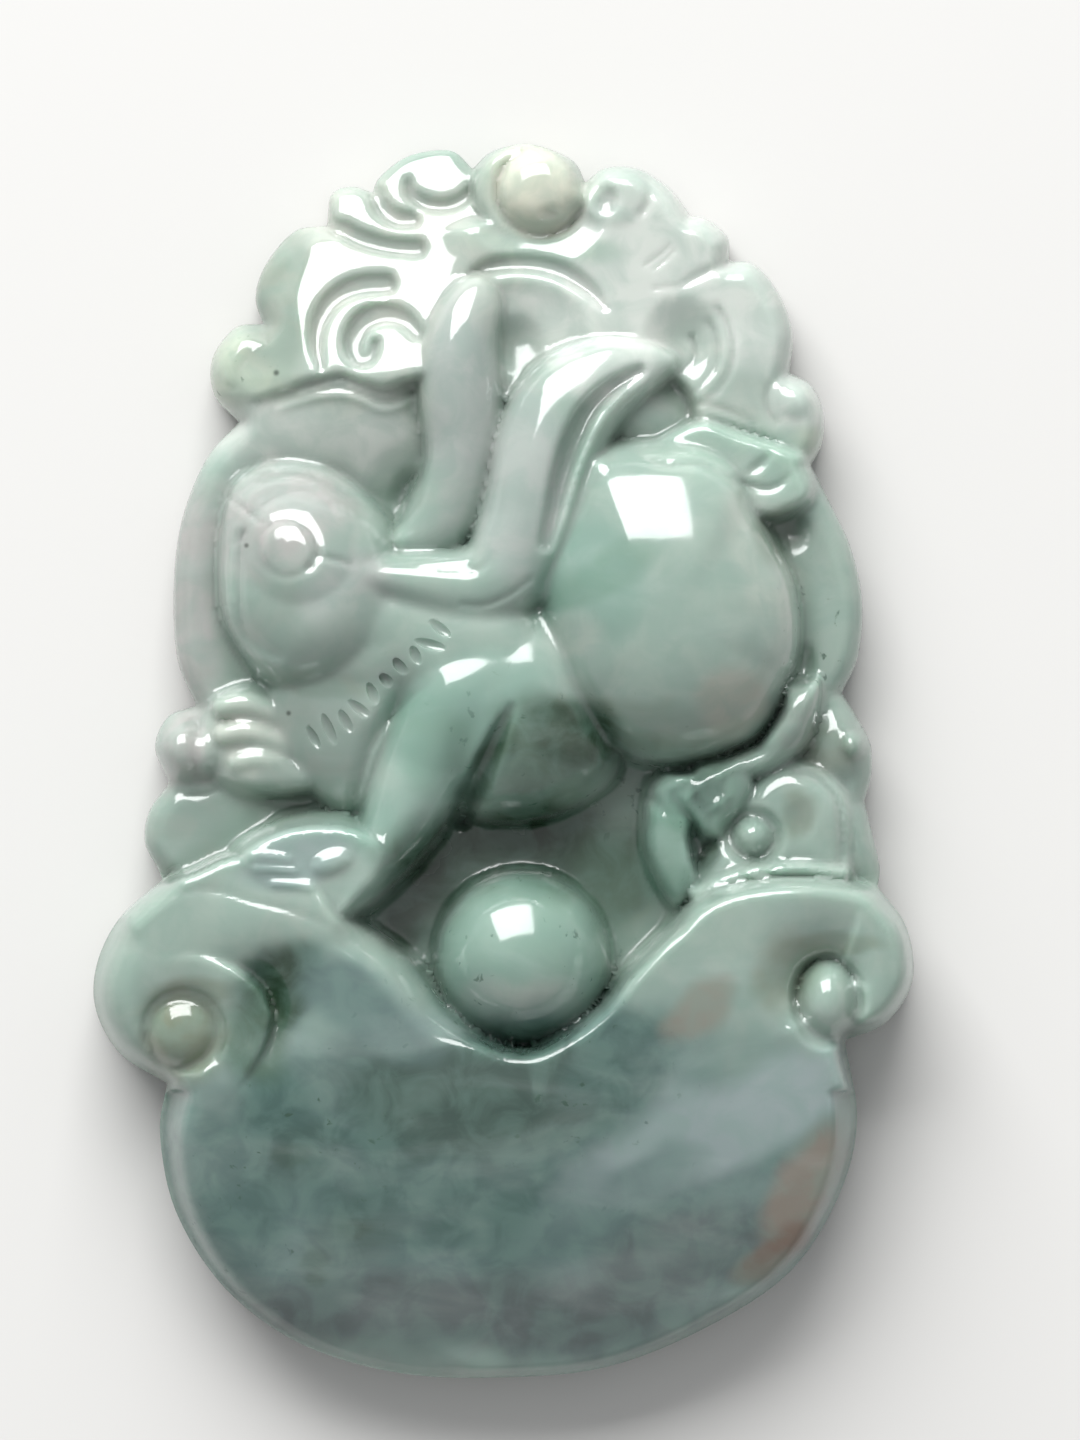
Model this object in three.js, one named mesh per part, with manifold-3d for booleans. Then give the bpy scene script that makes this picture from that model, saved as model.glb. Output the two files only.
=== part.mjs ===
// Jade rabbit pendant, carved from one stone: a leaping rabbit under curling clouds,
// over a pearl that rests in the notch of a broad scroll-ended base.
// Millimetres. The flat back lies on z = 0 and the carving rises towards +Z,
// +Y points to the boss at the top, and the origin is the middle of the back's extent.

import * as THREE from 'three';
import { mergeVertices } from 'three/addons/utils/BufferGeometryUtils.js';
import Module from 'manifold-3d';

const wasm = await Module();
wasm.setup();

// Driving dimensions
const PLATE_TOP = 4.2;        // background behind the rabbit
const RECESS_FLOOR = 3.2;     // deepest ground, round the pearl
const ROOT = 1;               // carved forms are rooted this far above the back
const LOBE_ROOT = 0.5;        // cloud lobes along the outline start here
const BACK_ROUND = 0.5;       // rounding where the back meets the sides
const CLEAR = 12;             // above every crest, where the cutters start
const HALF_LENGTH = 30;       // from the middle to the boss and to the foot of the base
const CLOUD_RIDGE = 6.3;
const CLOUD_EDGE = 3.7;       // height of the clouds at the top edge
const CLOUD_FALL = 0.3;       // fall of the clouds towards the top edge, per millimetre
const BASE_CREST = 9.1;       // lip round the notch of the base
const BASE_FALL = 0.17;       // fall of the base towards its foot, per millimetre
const BASE_SIDE_FALL = 0.004; // fall of the base to both sides, per square millimetre
const HEAD_CREST = 9;
const HAUNCH_CREST = 10.2;    // the highest place of the pendant
const PEARL_RADIUS = 4.24;
const PEARL_CREST = 8.5;
const GROOVE_WALL = 2.2;      // height of the round bottom of a groove
const CORD_RADIUS = 1.05;     // drilled hole for the cord
const CORD_Y = 26.4;          // where the hole comes out of the back
const CORD_Z = 2.7;           // height of the hole in the top edge
const WELD = 0.001;           // points closer than this are one
const SMALLEST = 0.06;        // edges shorter than this are closed up after the cuts

// Steps along one span of a smooth line and up a dome
const SPAN = 2;
const RINGS = 3;

// A smooth line through a few points, which may carry a width and a height as well
function smooth(points, closed = false, span = SPAN) {
  const count = points.length;
  const pick = (i) => points[closed ? (i + count) % count : Math.min(Math.max(i, 0), count - 1)];
  const line = [];
  for (let i = 0; i < (closed ? count : count - 1); i += 1) {
    const [a, b, c, d] = [pick(i - 1), pick(i), pick(i + 1), pick(i + 2)];
    for (let k = 0; k < span; k += 1) {
      const t = k / span;
      line.push(b.map((p, j) => {
        const slope = 0.5 * (c[j] - a[j]);
        const bend = a[j] - 2.5 * p + 2 * c[j] - 0.5 * d[j];
        const twist = 1.5 * (p - c[j]) + 0.5 * (d[j] - a[j]);
        return p + t * (slope + t * (bend + t * twist));
      }));
    }
  }
  if (!closed) {
    line.push(points[count - 1]);
  }
  return line;
}

// An oval outline; a power over 2 makes it squarer
function oval([cx, cy], [rx, ry], turn = 0, power = 2) {
  const steps = 10 + 2 * Math.round(Math.max(rx, ry));
  const tilt = THREE.MathUtils.degToRad(turn);
  return Array.from({ length: steps }, (_, i) => {
    const a = (2 * Math.PI * i) / steps;
    const u = rx * Math.sign(Math.cos(a)) * Math.abs(Math.cos(a)) ** (2 / power);
    const v = ry * Math.sign(Math.sin(a)) * Math.abs(Math.sin(a)) ** (2 / power);
    return [cx + u * Math.cos(tilt) - v * Math.sin(tilt), cy + u * Math.sin(tilt) + v * Math.cos(tilt)];
  });
}

// The rows of a curl that winds in from its outer to its inner radius, with width and height
function curl([cx, cy], { radii, start, sweep, widths, heights, steps = 9 }) {
  return Array.from({ length: steps }, (_, i) => {
    const t = i / (steps - 1);
    const a = THREE.MathUtils.degToRad(start + sweep * t);
    const r = THREE.MathUtils.lerp(radii[0], radii[1], t);
    const width = THREE.MathUtils.lerp(widths[0], widths[1], t);
    const height = THREE.MathUtils.lerp(heights[0], heights[1], t);
    return [cx + r * Math.cos(a), cy + r * Math.sin(a), width, height];
  });
}

// A closed body from rings of equal length, capped at both ends
function skin(rings) {
  const across = rings[0].length;
  const points = rings.flat();
  const faces = [];
  for (let i = 0; i + 1 < rings.length; i += 1) {
    for (let j = 0; j < across; j += 1) {
      const next = (j + 1) % across;
      const [a, b] = [i * across + j, i * across + next];
      faces.push(a, b, b + across, a, b + across, a + across);
    }
  }
  const caps = [[0, 1], [(rings.length - 1) * across, -1]];
  for (const [first, side] of caps) {
    const ring = points.slice(first, first + across);
    const middle = [0, 1, 2].map((k) => ring.reduce((sum, p) => sum + p[k], 0) / across);
    points.push(middle);
    for (let j = 0; j < across; j += 1) {
      const pair = [first + j, first + ((j + 1) % across)];
      faces.push(points.length - 1, ...(side > 0 ? pair.reverse() : pair));
    }
  }
  return solid(points, faces);
}

// A solid with its faces turned outwards
function solid(points, faces) {
  let volume = 0;
  for (let i = 0; i < faces.length; i += 3) {
    const [a, b, c] = [0, 1, 2].map((k) => new THREE.Vector3(...points[faces[i + k]]));
    volume += a.dot(b.cross(c));
  }
  const triVerts = Uint32Array.from(volume < 0 ? faces.toReversed() : faces);
  const vertProperties = Float32Array.from(points.flat());
  return new wasm.Manifold(new wasm.Mesh({ numProp: 3, vertProperties, triVerts }));
}

// The height of a crown, which is one number or follows the place
const crownAt = (crown, x, y) => (typeof crown === 'function' ? crown(x, y) : crown);

// The outline drawn in towards a centre
const drawnIn = (outline, [cx, cy], s) => outline.map(([x, y]) => [cx + s * (x - cx), cy + s * (y - cy)]);

// The rings at the root of a form, with the back rim rounded where it has a foot
function walls(outline, centre, root, foot) {
  const level = (ring, z) => ring.map(([x, y]) => [x, y, z]);
  if (foot === 0) {
    return [level(outline, root)];
  }
  const reach = Math.min(...outline.map(([x, y]) => Math.hypot(x - centre[0], y - centre[1])));
  return [level(drawnIn(outline, centre, 1 - foot / reach), root), level(outline, root + foot)];
}

// A swelling over an outline: side walls up to the edge, then a rise to the crown.
// The fullness says how flat the top is: 2 is round, 8 is a plateau with a rounded rim.
function dome(outline, centre, { root = ROOT, edge, crown, fullness = 2.4, foot = 0, rings = RINGS }) {
  const layers = walls(outline, centre, root, foot);
  for (let i = 0; i <= rings; i += 1) {
    const a = (Math.PI / 2) * (i / (rings + 0.4));
    const rise = i < rings ? Math.sin(a) : 1;
    layers.push(drawnIn(outline, centre, Math.cos(a) ** (2 / fullness)).map(([x, y]) => [
      x, y, edge + (crownAt(crown, x, y) - edge) * rise]));
  }
  return skin(layers);
}

// A slab whose top follows the crown and rolls over at a rim of the same width all round.
// The outline runs anticlockwise, and each inner ring is drawn in towards the centre.
function slab(outline, centre, { root = 0, edge, crown, rim, foot = BACK_ROUND, inner = [0.7, 0.4, 0.1] }) {
  const topped = (ring, rise) => ring.map(([x, y]) => [x, y, edge + (crownAt(crown, x, y) - edge) * rise]);
  const inset = (depth) => outline.map(([x, y], i) => {
    const [before, after] = [outline.at(i - 1), outline[(i + 1) % outline.length]];
    const inward = new THREE.Vector2(before[1] - after[1], after[0] - before[0]).setLength(depth);
    return [x + inward.x, y + inward.y];
  });
  const rolled = [0, 30, 60, 90].map((degrees) => {
    const a = THREE.MathUtils.degToRad(degrees);
    return topped(inset(rim * (1 - Math.cos(a))), Math.sin(a));
  });
  const top = inner.map((s) => topped(drawnIn(inset(rim), centre, s), 1));
  return skin([...walls(outline, centre, root, foot), ...rolled, ...top]);
}

// A round or oval swelling
function ball(centre, radii, heights, turn = 0, power = 2) {
  return dome(oval(centre, radii, turn, power), centre, heights);
}

// The stations of a tapering path with their directions and rounded ends
function stations(rows, span) {
  const line = smooth(rows, false, span);
  const placed = line.map(([x, y, width, height], i) => {
    const before = line[Math.max(i - 1, 0)];
    const after = line[Math.min(i + 1, line.length - 1)];
    const along = new THREE.Vector2(after[0] - before[0], after[1] - before[1]).normalize();
    return { x, y, width, height, along, swell: 1 };
  });
  const ends = [45, 80].map((degrees) => THREE.MathUtils.degToRad(degrees));
  const rounded = (station, way) => ends.map((a) => ({
    ...station,
    x: station.x + way * station.width * Math.sin(a) * station.along.x,
    y: station.y + way * station.width * Math.sin(a) * station.along.y,
    width: station.width * Math.cos(a),
    swell: Math.cos(a),
  }));
  const first = rounded(placed[0], -1).reverse();
  return [...first, ...placed, ...rounded(placed[placed.length - 1], 1)];
}

// A tapering raised form along a path of [x, y, half width, crest height]
function limb(rows, { root = ROOT, side = 4.4, span = 2, arc = 5 } = {}) {
  const rings = stations(rows, span).map(({ x, y, width, height, along, swell }) => {
    const ring = [[-1, root], [1, root]];
    for (let i = 0; i <= arc; i += 1) {
      const a = (Math.PI * i) / arc;
      ring.push([Math.cos(a), side + (height - side) * swell * Math.sin(a)]);
    }
    return ring.map(([u, z]) => [x - u * width * along.y, y + u * width * along.x, z]);
  });
  return skin(rings);
}

// The cutter for a round-bottomed groove along a path of [x, y, half width, floor height]
function groove(rows, { rise = GROOVE_WALL, span = 1, arc = 3 } = {}) {
  const rings = stations(rows, span).map(({ x, y, width, height, along, swell }) => {
    const brim = height + rise;
    const ring = [[1, brim + rise], [-1, brim + rise]];
    for (let i = 0; i <= arc; i += 1) {
      const a = (Math.PI * i) / arc;
      ring.push([-Math.cos(a), brim - rise * swell * Math.sin(a)]);
    }
    return ring.map(([u, z]) => [x - u * width * along.y, y + u * width * along.x, z]);
  });
  return skin(rings);
}

// The cutter for a sunk area
function hollow(outline, centre, floor, fullness = 4) {
  return dome(outline, centre, { root: CLEAR, edge: CLEAR - 1, crown: floor, fullness });
}

const join = (solids) => solids.reduce((whole, piece) => whole.add(piece));
const cut = (whole, cutters) => cutters.reduce((left, cutter) => left.subtract(cutter), whole);

// The faces of a solid as a three.js geometry
function faced(whole) {
  const mesh = whole.getMesh();
  return new THREE.BufferGeometry()
    .setAttribute('position', new THREE.BufferAttribute(mesh.vertProperties, mesh.numProp))
    .setIndex(new THREE.BufferAttribute(mesh.triVerts, 1));
}

// A closed three.js geometry as a solid
function shape(geometry) {
  geometry.deleteAttribute('normal');
  geometry.deleteAttribute('uv');
  const merged = mergeVertices(geometry, WELD);
  const flat = merged.getAttribute('position').array;
  const points = Array.from({ length: flat.length / 3 }, (_, i) => [...flat.slice(3 * i, 3 * i + 3)]);
  return solid(points, [...merged.getIndex().array]);
}

// Background plate, with the deep ground round the pearl sunk into it
function plate() {
  const outline = smooth([
    [-14.6, -6], [-15.2, 0], [-15.5, 3.6], [-16.1, 7.5], [-15.7, 11.6], [-14.4, 14.9], [-12.4, 17.6],
    [-10, 21], [-6, 25.5], [0, 28], [6, 27], [11, 23], [13.8, 19], [15.2, 14.6], [16.9, 10.6],
    [17.5, 7], [16.8, 3.6], [16.8, 0], [17.2, -5], [12, -10], [0, -17], [-12, -10]], true);
  const ground = smooth([
    [-4, -1.6], [1, -0.6], [6, 0.6], [8.2, -1.4], [7.6, -4.6], [8.4, -7.2], [5.9, -11],
    [0.2, -17], [-5.4, -11], [-7.6, -7.6]], true);
  const whole = slab(outline.toReversed(), [0.5, 6], { edge: 3, crown: PLATE_TOP, rim: 1.2, inner: [0.5] });
  return whole.subtract(hollow(ground, [0.8, -8], RECESS_FLOOR, 9));
}

// The clouds fall away from their ridge towards the top edge
const cloudTop = (x, y) => Math.min(CLOUD_RIDGE, CLOUD_EDGE + CLOUD_FALL * (HALF_LENGTH - y));

// Clouds round the top, lobed along the outline and stepped down to the plate below
function clouds() {
  const outline = smooth([
    [-11.6, 17.2], [-9.9, 17.8], [-8.1, 18.2], [-5.8, 17.5], [-2, 17], [3.6, 16], [6.4, 18.2],
    [9.4, 16.6], [12.6, 15.6], [13.9, 19.3], [14, 21.4], [12.7, 23.8], [11.1, 24.3], [11, 25.3],
    [9.2, 26.5], [8, 28], [5.8, 29], [4.2, 28.5], [3.4, 27.4], [-0.6, 27.4], [-1.5, 28.9],
    [-3.1, 29.8], [-5.2, 29.2], [-6.4, 27.8], [-7.6, 28], [-8.6, 27.1], [-8.8, 26.1], [-10.4, 25.6],
    [-11.9, 23.7], [-12, 21.4]], true);
  return slab(outline, [1.2, 21.4], {
    root: LOBE_ROOT, edge: 3.2, crown: cloudTop, rim: 0.9, foot: 0, inner: [0.6, 0.25] });
}

// Curled lines and sunk places in the clouds, from rows of [x, y, half width, depth]
function cloudCuts() {
  const line = (rows) => groove(rows.map(([x, y, width, depth]) => [x, y, width, cloudTop(x, y) - depth]));
  const leftCurl = [-6.6, 20.9];
  const rightCurl = [8.9, 19.4];
  return [
    line([[-6.6, 28, 0.35, 0.9], [-5.9, 26.9, 0.45, 0.9], [-4.4, 26.4, 0.4, 0.7]]),
    line([[-9, 26.9, 0.35, 0.9], [-7.3, 25.7, 0.45, 1], [-3.9, 24.8, 0.4, 0.8]]),
    line(curl([-3.1, 28.7], { radii: [1.7, 1.5], start: 190, sweep: 130, widths: [0.35, 0.3],
      heights: [0.9, 0.7], steps: 5 })),
    line(curl(leftCurl, { radii: [2.6, 2.7], start: 68, sweep: 155, widths: [0.5, 0.25],
      heights: [1.2, 0.7], steps: 7 })),
    line(curl(leftCurl, { radii: [2.3, 0.5], start: 5, sweep: 350, widths: [0.4, 0.5],
      heights: [1, 1.4], steps: 11 })),
    line(curl(rightCurl, { radii: [2.5, 2.3], start: 75, sweep: -165, widths: [0.35, 0.3],
      heights: [1, 0.9], steps: 7 })),
    line(curl(rightCurl, { radii: [1.5, 0.9], start: 60, sweep: -170, widths: [0.35, 0.3],
      heights: [1.1, 1], steps: 6 })),
    line([[11, 24.3, 0.35, 1], [9.8, 23.6, 0.4, 0.8], [7.4, 23, 0.3, 0.6]]),
    line([[-2.8, 22.4, 0.4, 0.8], [-0.8, 24, 0.6, 1.1], [1.4, 24.3, 0.7, 1.1],
      [3.5, 23.3, 0.6, 1], [5.4, 21.2, 0.35, 0.7]]),
    hollow(oval([1.4, 20.9], [2.2, 2.9], -25), [1.4, 20.9], 4.6, 2.5),
  ];
}

// Balls at the ends of the cloud curls and the puffs along both sides
function puffs() {
  const low = { root: LOBE_ROOT, edge: 3.2, crown: 5.2, fullness: 2.6 };
  const raised = { root: LOBE_ROOT, edge: 3.4, crown: 5.9, fullness: 2.4 };
  return [
    ball([-12.6, 19.5], [1.8, 1.9], { ...low, crown: 5.4 }),
    ball([5.6, 27.4], [1.5, 1.5], { ...low, crown: 5.5 }),
    ball([13.8, 16.6], [1.95, 2.1], low),
    ball([14.1, 17.4], [1.2, 1.2], { ...low, crown: 5.9 }),
    ball([-15.2, 0.6], [1.8, 1.8], raised),
    ball([-15, -3.6], [2.55, 2.4], { ...raised, crown: 5.3 }),
    ball([-12, -2.6], [2.2, 1.6], { ...low, crown: 5 }),
    ball([16.3, 0.5], [1.7, 1.95], { ...low, crown: 4.9 }),
    ball([17, 0.8], [0.75, 0.75], { ...low, crown: 5.7 }),
    ball([16.6, -3.8], [1.75, 2.8], { ...low, crown: 4.8 }),
  ];
}

// Boss at the very top, through which the cord is led
function boss() {
  return join([
    ball([1.4, 27.5], [2.75, 2.5], { root: LOBE_ROOT, edge: 4.5, crown: 5, fullness: 8 }, 0, 2.6),
    ball([1.8, 27.7], [2.05, 1.9], { edge: 4.4, crown: 6.4 }),
  ]);
}

// The hole runs down from the top edge and turns out of the back
function cordHole() {
  const down = new THREE.CylinderGeometry(CORD_RADIUS, CORD_RADIUS, 5, 16);
  down.translate(1.4, CORD_Y + 2.5, CORD_Z);
  const out = new THREE.CylinderGeometry(CORD_RADIUS, CORD_RADIUS, CORD_Z + 1, 16);
  out.rotateX(Math.PI / 2);
  out.translate(1.4, CORD_Y, (CORD_Z - 1) / 2);
  const elbow = new THREE.SphereGeometry(CORD_RADIUS, 16, 8);
  elbow.translate(1.4, CORD_Y, CORD_Z);
  return [shape(down), shape(out), shape(elbow)];
}

// The head looks to the left, with a round eye set in a ring
function head() {
  const outline = smooth([
    [-13, 13.7], [-10.4, 14.65], [-7.6, 13.6], [-5.5, 11.5], [-5, 8], [-6, 5.6], [-8.2, 3.8],
    [-10.7, 3.3], [-12.8, 4.65], [-13.7, 7.3], [-13.7, 11]], true);
  const eye = [-10.3, 10.3];
  return cut(
    dome(outline, [-9.7, 9], { edge: 4, crown: HEAD_CREST, fullness: 2.6, rings: 4 }),
    [groove(curl(eye, { radii: [1.55, 1.55], start: 200, sweep: 230, widths: [0.26, 0.26],
      heights: [7.9, 7.9], steps: 8 }))],
  ).add(ball(eye, [1.15, 1.15], { edge: 8.4, crown: 9.6 }));
}

// Both ears sweep back over the neck and up into the clouds
function ears() {
  const upper = limb([
    [-3.8, 10.5, 1.35, 6.6], [-2.5, 12.6, 1.35, 6.7], [-2.2, 15.4, 1.8, 7.1], [-2, 18.8, 2.3, 7.7],
    [-1.6, 21.3, 1.9, 7.8], [-1.1, 22.4, 1.2, 7.3]], { side: 5 });
  const lower = limb([
    [-7.5, 8.8, 0.6, 8.6], [-5, 8.5, 0.85, 8], [-2.6, 8.3, 1.2, 7.6], [-0.5, 9, 1.7, 7.5],
    [1, 11, 2.1, 7.7], [1.8, 13.8, 2.5, 8.1], [3, 16.8, 2.5, 8.3], [4.9, 18.8, 1.9, 7.9],
    [7, 19.5, 1, 7.2]], { side: 5.4 });
  const fold = groove([
    [6, 19.1, 0.3, 6.4], [4.6, 17.8, 0.45, 6.7], [3.6, 16.3, 0.5, 6.9], [3, 14.6, 0.5, 6.9],
    [2.6, 12.7, 0.4, 6.7], [2.1, 10.9, 0.3, 6.7]]);
  return [upper, lower.subtract(fold)];
}

// Neck, chest and belly
function body() {
  const chest = smooth([
    [-11.6, 3.4], [-11.1, 1], [-10.3, -0.4], [-8.9, -1.7], [-7.6, -2.7], [-6, -1.5], [-4.6, 2],
    [-3.2, 4.6], [-4.8, 6.4], [-8, 5.4]], true);
  const trunk = smooth([
    [-7.6, 7.9], [-3, 8.4], [1.6, 8.4], [4, 6.6], [4.8, 2.4], [5.7, -0.2], [4.2, -1.9], [1.8, -2.9],
    [-1.2, -2.9], [-3.4, -1.2], [-5.6, 2], [-7.6, 4.6]], true);
  return [
    dome(chest, [-7.4, 1.6], { edge: 3.6, crown: 7.2 }),
    dome(trunk, [-0.8, 3.4], { edge: 3.6, crown: 7.8, fullness: 3 }),
  ];
}

// The haunch is the highest form of the relief
function haunch() {
  const outline = smooth([
    [4.9, 14], [7.2, 14.8], [9.6, 14.4], [11.8, 12.6], [13.5, 10.3], [14.45, 7.3], [13.9, 4.4],
    [12.9, 1.9], [11, 0.5], [8.1, -0.1], [5.7, 0.5], [3.6, 2.6], [2.3, 5.5], [2.1, 8.4], [3.2, 11.6]],
  true);
  return dome(outline, [8.4, 7.2], { edge: 4, crown: HAUNCH_CREST, fullness: 2.5, rings: 4 });
}

// Stretched foreleg with its paw on the base, and the other paw raised at the left
function forelegs() {
  const paw = smooth([
    [-7.7, -3.4], [-10, -3.3], [-12.5, -4.3], [-12.7, -5.2], [-9.8, -6.6], [-8, -7.4], [-6.6, -6.6],
    [-6.2, -5]], true);
  const toes = [[2.6, -11.6, -14.2, 0.6], [1.3, -11.4, -14.5, 0.75], [-0.4, -9.6, -13.1, 0.85]];
  return [
    limb([[-1.4, 5.2, 1.9, 7.3], [-2.9, 3.2, 2.7, 8], [-3.6, 1, 3, 7.9], [-4.5, -1.4, 2.65, 7.4],
      [-5.4, -3.7, 2.3, 6.9], [-6.8, -5.6, 1.7, 6.6], [-7.7, -6.8, 0.8, 6.4]]),
    dome(paw, [-8.9, -5.2], { edge: 4.2, crown: 6.6 }),
    ...toes.map(([y, from, to, width]) => limb([
      [from, y, width, 6.1], [(from + to) / 2, y - 0.1, width, 6.2], [to, y - 0.1, width, 5.7]])),
  ];
}

// Hock, lower leg and paw under the haunch, with the leaf-like sole beside it
function hindLeg() {
  const toes = [0, 1, 2].map((i) => limb([
    [9.2 + 1.15 * i, -0.8, 0.8, 6.5], [8 + 1.1 * i, -2.4 - 0.5 * i, 0.65, 6]], { span: 1 }));
  return [
    limb([[15.1, 3.7, 0.35, 5.4], [14.8, 2.6, 0.6, 5.9], [14.2, 1.3, 0.75, 6.2], [13, 0.4, 0.75, 6.4],
      [11.3, -0.3, 0.75, 6.5], [9.6, -1, 0.8, 6.4]]),
    limb([[8.3, -1, 0.5, 5.6], [7.8, -2.3, 0.95, 5.8], [7.9, -3.8, 1.05, 5.8], [8.1, -5.3, 0.8, 5.6],
      [8.5, -6.7, 0.35, 5.3]]),
    ...toes,
  ];
}

// Short tail over the haunch
function tail() {
  return [
    limb([[5.8, 15.2, 0.5, 5.4], [8.4, 15.6, 0.8, 5.8], [11, 15, 1.1, 6.1], [12.9, 13.9, 1.5, 6.2]]),
    ball([12.9, 13.3], [2.3, 1.75], { edge: 4, crown: 6.4 }, -8),
  ];
}

// Small cloud at the lower right, with a bead and a dimple
function lowCloud() {
  const outline = smooth([
    [11.6, -1.5], [13.9, 0], [16.1, -1], [16.9, -3.8], [16.6, -5.8], [12.5, -6], [9.6, -6.5],
    [9.7, -4.6]], true);
  const bead = [12.1, -3.6];
  const dimple = [14.3, -2.8];
  return cut(
    dome(outline, [13.3, -3.2], { edge: 4.2, crown: 6, fullness: 4 }),
    [hollow(oval(dimple, [0.9, 1]), dimple, 5.2), hollow(oval(bead, [1.4, 1.4]), bead, 5.1)],
  ).add(ball(bead, [0.9, 0.9], { edge: 5, crown: 6.6 }));
}

// The pearl rests in the notch of the base
function pearl() {
  const heights = { edge: 4.2, crown: PEARL_CREST, fullness: 2, rings: 4 };
  return ball([0.9, -9.6], [PEARL_RADIUS, PEARL_RADIUS], heights);
}

// Broad base with a lip round its notch and a scroll at each end
function base() {
  const outline = smooth([
    [-0.4, -15.4], [-3, -13.7], [-6, -10.3], [-8.8, -7.5], [-11.8, -6.4], [-15, -5.7], [-17.9, -6.8],
    [-19.7, -9.5], [-19.9, -12], [-18.4, -14.6], [-16.5, -15.7], [-16.7, -19], [-15, -23.9],
    [-11.6, -27.4], [-6, -29.7], [0, -30], [6, -29.3], [11.8, -26.4], [15.6, -22.8], [17.2, -18.2],
    [16.7, -13.8], [18.7, -12.7], [20, -10], [18.9, -6.9], [16.4, -5.8], [12.6, -5.8], [9.2, -6.8],
    [6.4, -9.8], [3.6, -13.3], [1.4, -15]], true);
  const crest = (x, y) => BASE_CREST - BASE_FALL * Math.max(0, -11 - y) - BASE_SIDE_FALL * x * x;
  const body = slab(outline, [0.3, -21.4], { edge: 4, crown: crest, rim: 1.7, inner: [0.75, 0.45] });
  const leftEye = [-15.3, -13.1];
  const rightEye = [15.8, -11.7];
  const folds = [
    groove([[-18.4, -10.4, 0.3, 7], [-16.4, -9.8, 0.8, 6.4], [-14, -10, 1.1, 6], [-12.3, -11.3, 1.3, 5.8],
      [-11.7, -13, 1.2, 6], [-12.5, -14.8, 0.7, 6.6]], { rise: 4 }),
    groove([[13.2, -14, 0.6, 7], [12.9, -12, 1, 6.2], [13.7, -10, 1.2, 5.8], [15.5, -9.1, 1, 5.8],
      [17.6, -9.6, 0.8, 6], [19.6, -10.8, 0.6, 6.2]], { rise: 4 }),
    hollow(oval(leftEye, [2.7, 2.6]), leftEye, 5.4),
    hollow(oval(rightEye, [2.4, 2.5]), rightEye, 5.4),
  ];
  return cut(body, folds).add(join([
    ball(leftEye, [2, 1.95], { edge: 5, crown: 8 }),
    ball(rightEye, [1.7, 1.9], { edge: 5, crown: 8.3 }),
    ball([18, -11.6], [1.4, 1.2], { edge: 4.2, crown: 6.6 }),
  ]));
}

// The largest of the skins that a solid is made of
const outerSkin = (whole) => whole.decompose().reduce((largest, skinned) => (
  skinned.volume() > largest.volume() ? skinned : largest));

const ground = cut(join([plate(), clouds()]), cloudCuts());

const carved = cut(join([
  ground, ...puffs(), boss(), ...tail(), ...body(), ...forelegs(), ...hindLeg(), lowCloud(),
  head(), haunch(), ...ears(), base(), pearl(),
]), cordHole()).simplify(SMALLEST);

// Pockets closed in between the forms are solid stone, so only the outer skin is kept,
// before its nearest points are welded and after
const stone = outerSkin(shape(faced(outerSkin(carved))));

const jade = new THREE.MeshStandardMaterial({
  name: 'polished jade',
  color: new THREE.Color('#8ea79b'),
  roughness: 0.12,
  metalness: 0,
});

const geometry = faced(stone);
geometry.computeVertexNormals();

const pendant = new THREE.Mesh(geometry, jade);
pendant.name = 'jade_pendant';

const group = new THREE.Group();
group.add(pendant);

export default group;
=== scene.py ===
# %% [markdown]
# # Jade rabbit pendant
# The pendant is one piece of polished jade, flat on the back and carved in relief on the front.
# A leaping rabbit looks to the left under curling clouds, and a pearl rests in the notch of the base.
# Everything is in millimetres here until the mesh is made, because that is how a carver thinks of it.

# %% Load the solid part as a fixed frame
import math

import bmesh
import bpy
import numpy as np
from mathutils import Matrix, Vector, geometry


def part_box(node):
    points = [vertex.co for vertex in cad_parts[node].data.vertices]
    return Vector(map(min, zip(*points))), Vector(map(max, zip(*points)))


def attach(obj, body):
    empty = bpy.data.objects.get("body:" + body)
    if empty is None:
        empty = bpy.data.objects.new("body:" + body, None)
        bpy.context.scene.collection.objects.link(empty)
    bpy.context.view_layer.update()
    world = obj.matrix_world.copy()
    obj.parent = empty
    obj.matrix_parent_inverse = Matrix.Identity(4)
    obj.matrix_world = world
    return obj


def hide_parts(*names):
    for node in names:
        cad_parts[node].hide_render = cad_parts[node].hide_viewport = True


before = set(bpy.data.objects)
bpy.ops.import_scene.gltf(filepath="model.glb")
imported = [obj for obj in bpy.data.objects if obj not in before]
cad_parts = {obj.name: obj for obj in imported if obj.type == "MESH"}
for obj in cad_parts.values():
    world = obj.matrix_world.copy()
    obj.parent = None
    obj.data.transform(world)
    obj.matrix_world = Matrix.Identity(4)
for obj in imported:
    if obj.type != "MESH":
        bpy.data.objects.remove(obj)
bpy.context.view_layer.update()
PART = "jade_pendant"
MM = 0.001
LOW, HIGH = (np.array(corner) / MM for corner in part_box(PART))
print("the solid part spans, in mm:", np.round(HIGH - LOW, 2))

# %% [markdown]
# ## A sheet of heights
# A relief is cut from above, so no form hides another. Its whole face can be kept as one height for each
# place, like a map. Forms are raised on the map or cut into it, and meet in small rounded valleys,
# as they do under a carver's wheel. The alternative is to sculpt a mesh by hand, but a map of heights can be
# written down as named sizes and changed at any time.

# %% The sheet and its smooth lines
RASTER = 0.08       # distance between neighbouring heights
STEPS = 6           # steps along a smooth line from one of its rows to the next
WALL = 5            # steepness of a carved wall, height over width
BLEND = 0.3         # width of the valley where two forms meet
AROUND = 2.2        # how far round a line the sheet is looked at
TINY = 1e-12        # keeps a stretch without length from being divided by nothing


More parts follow.
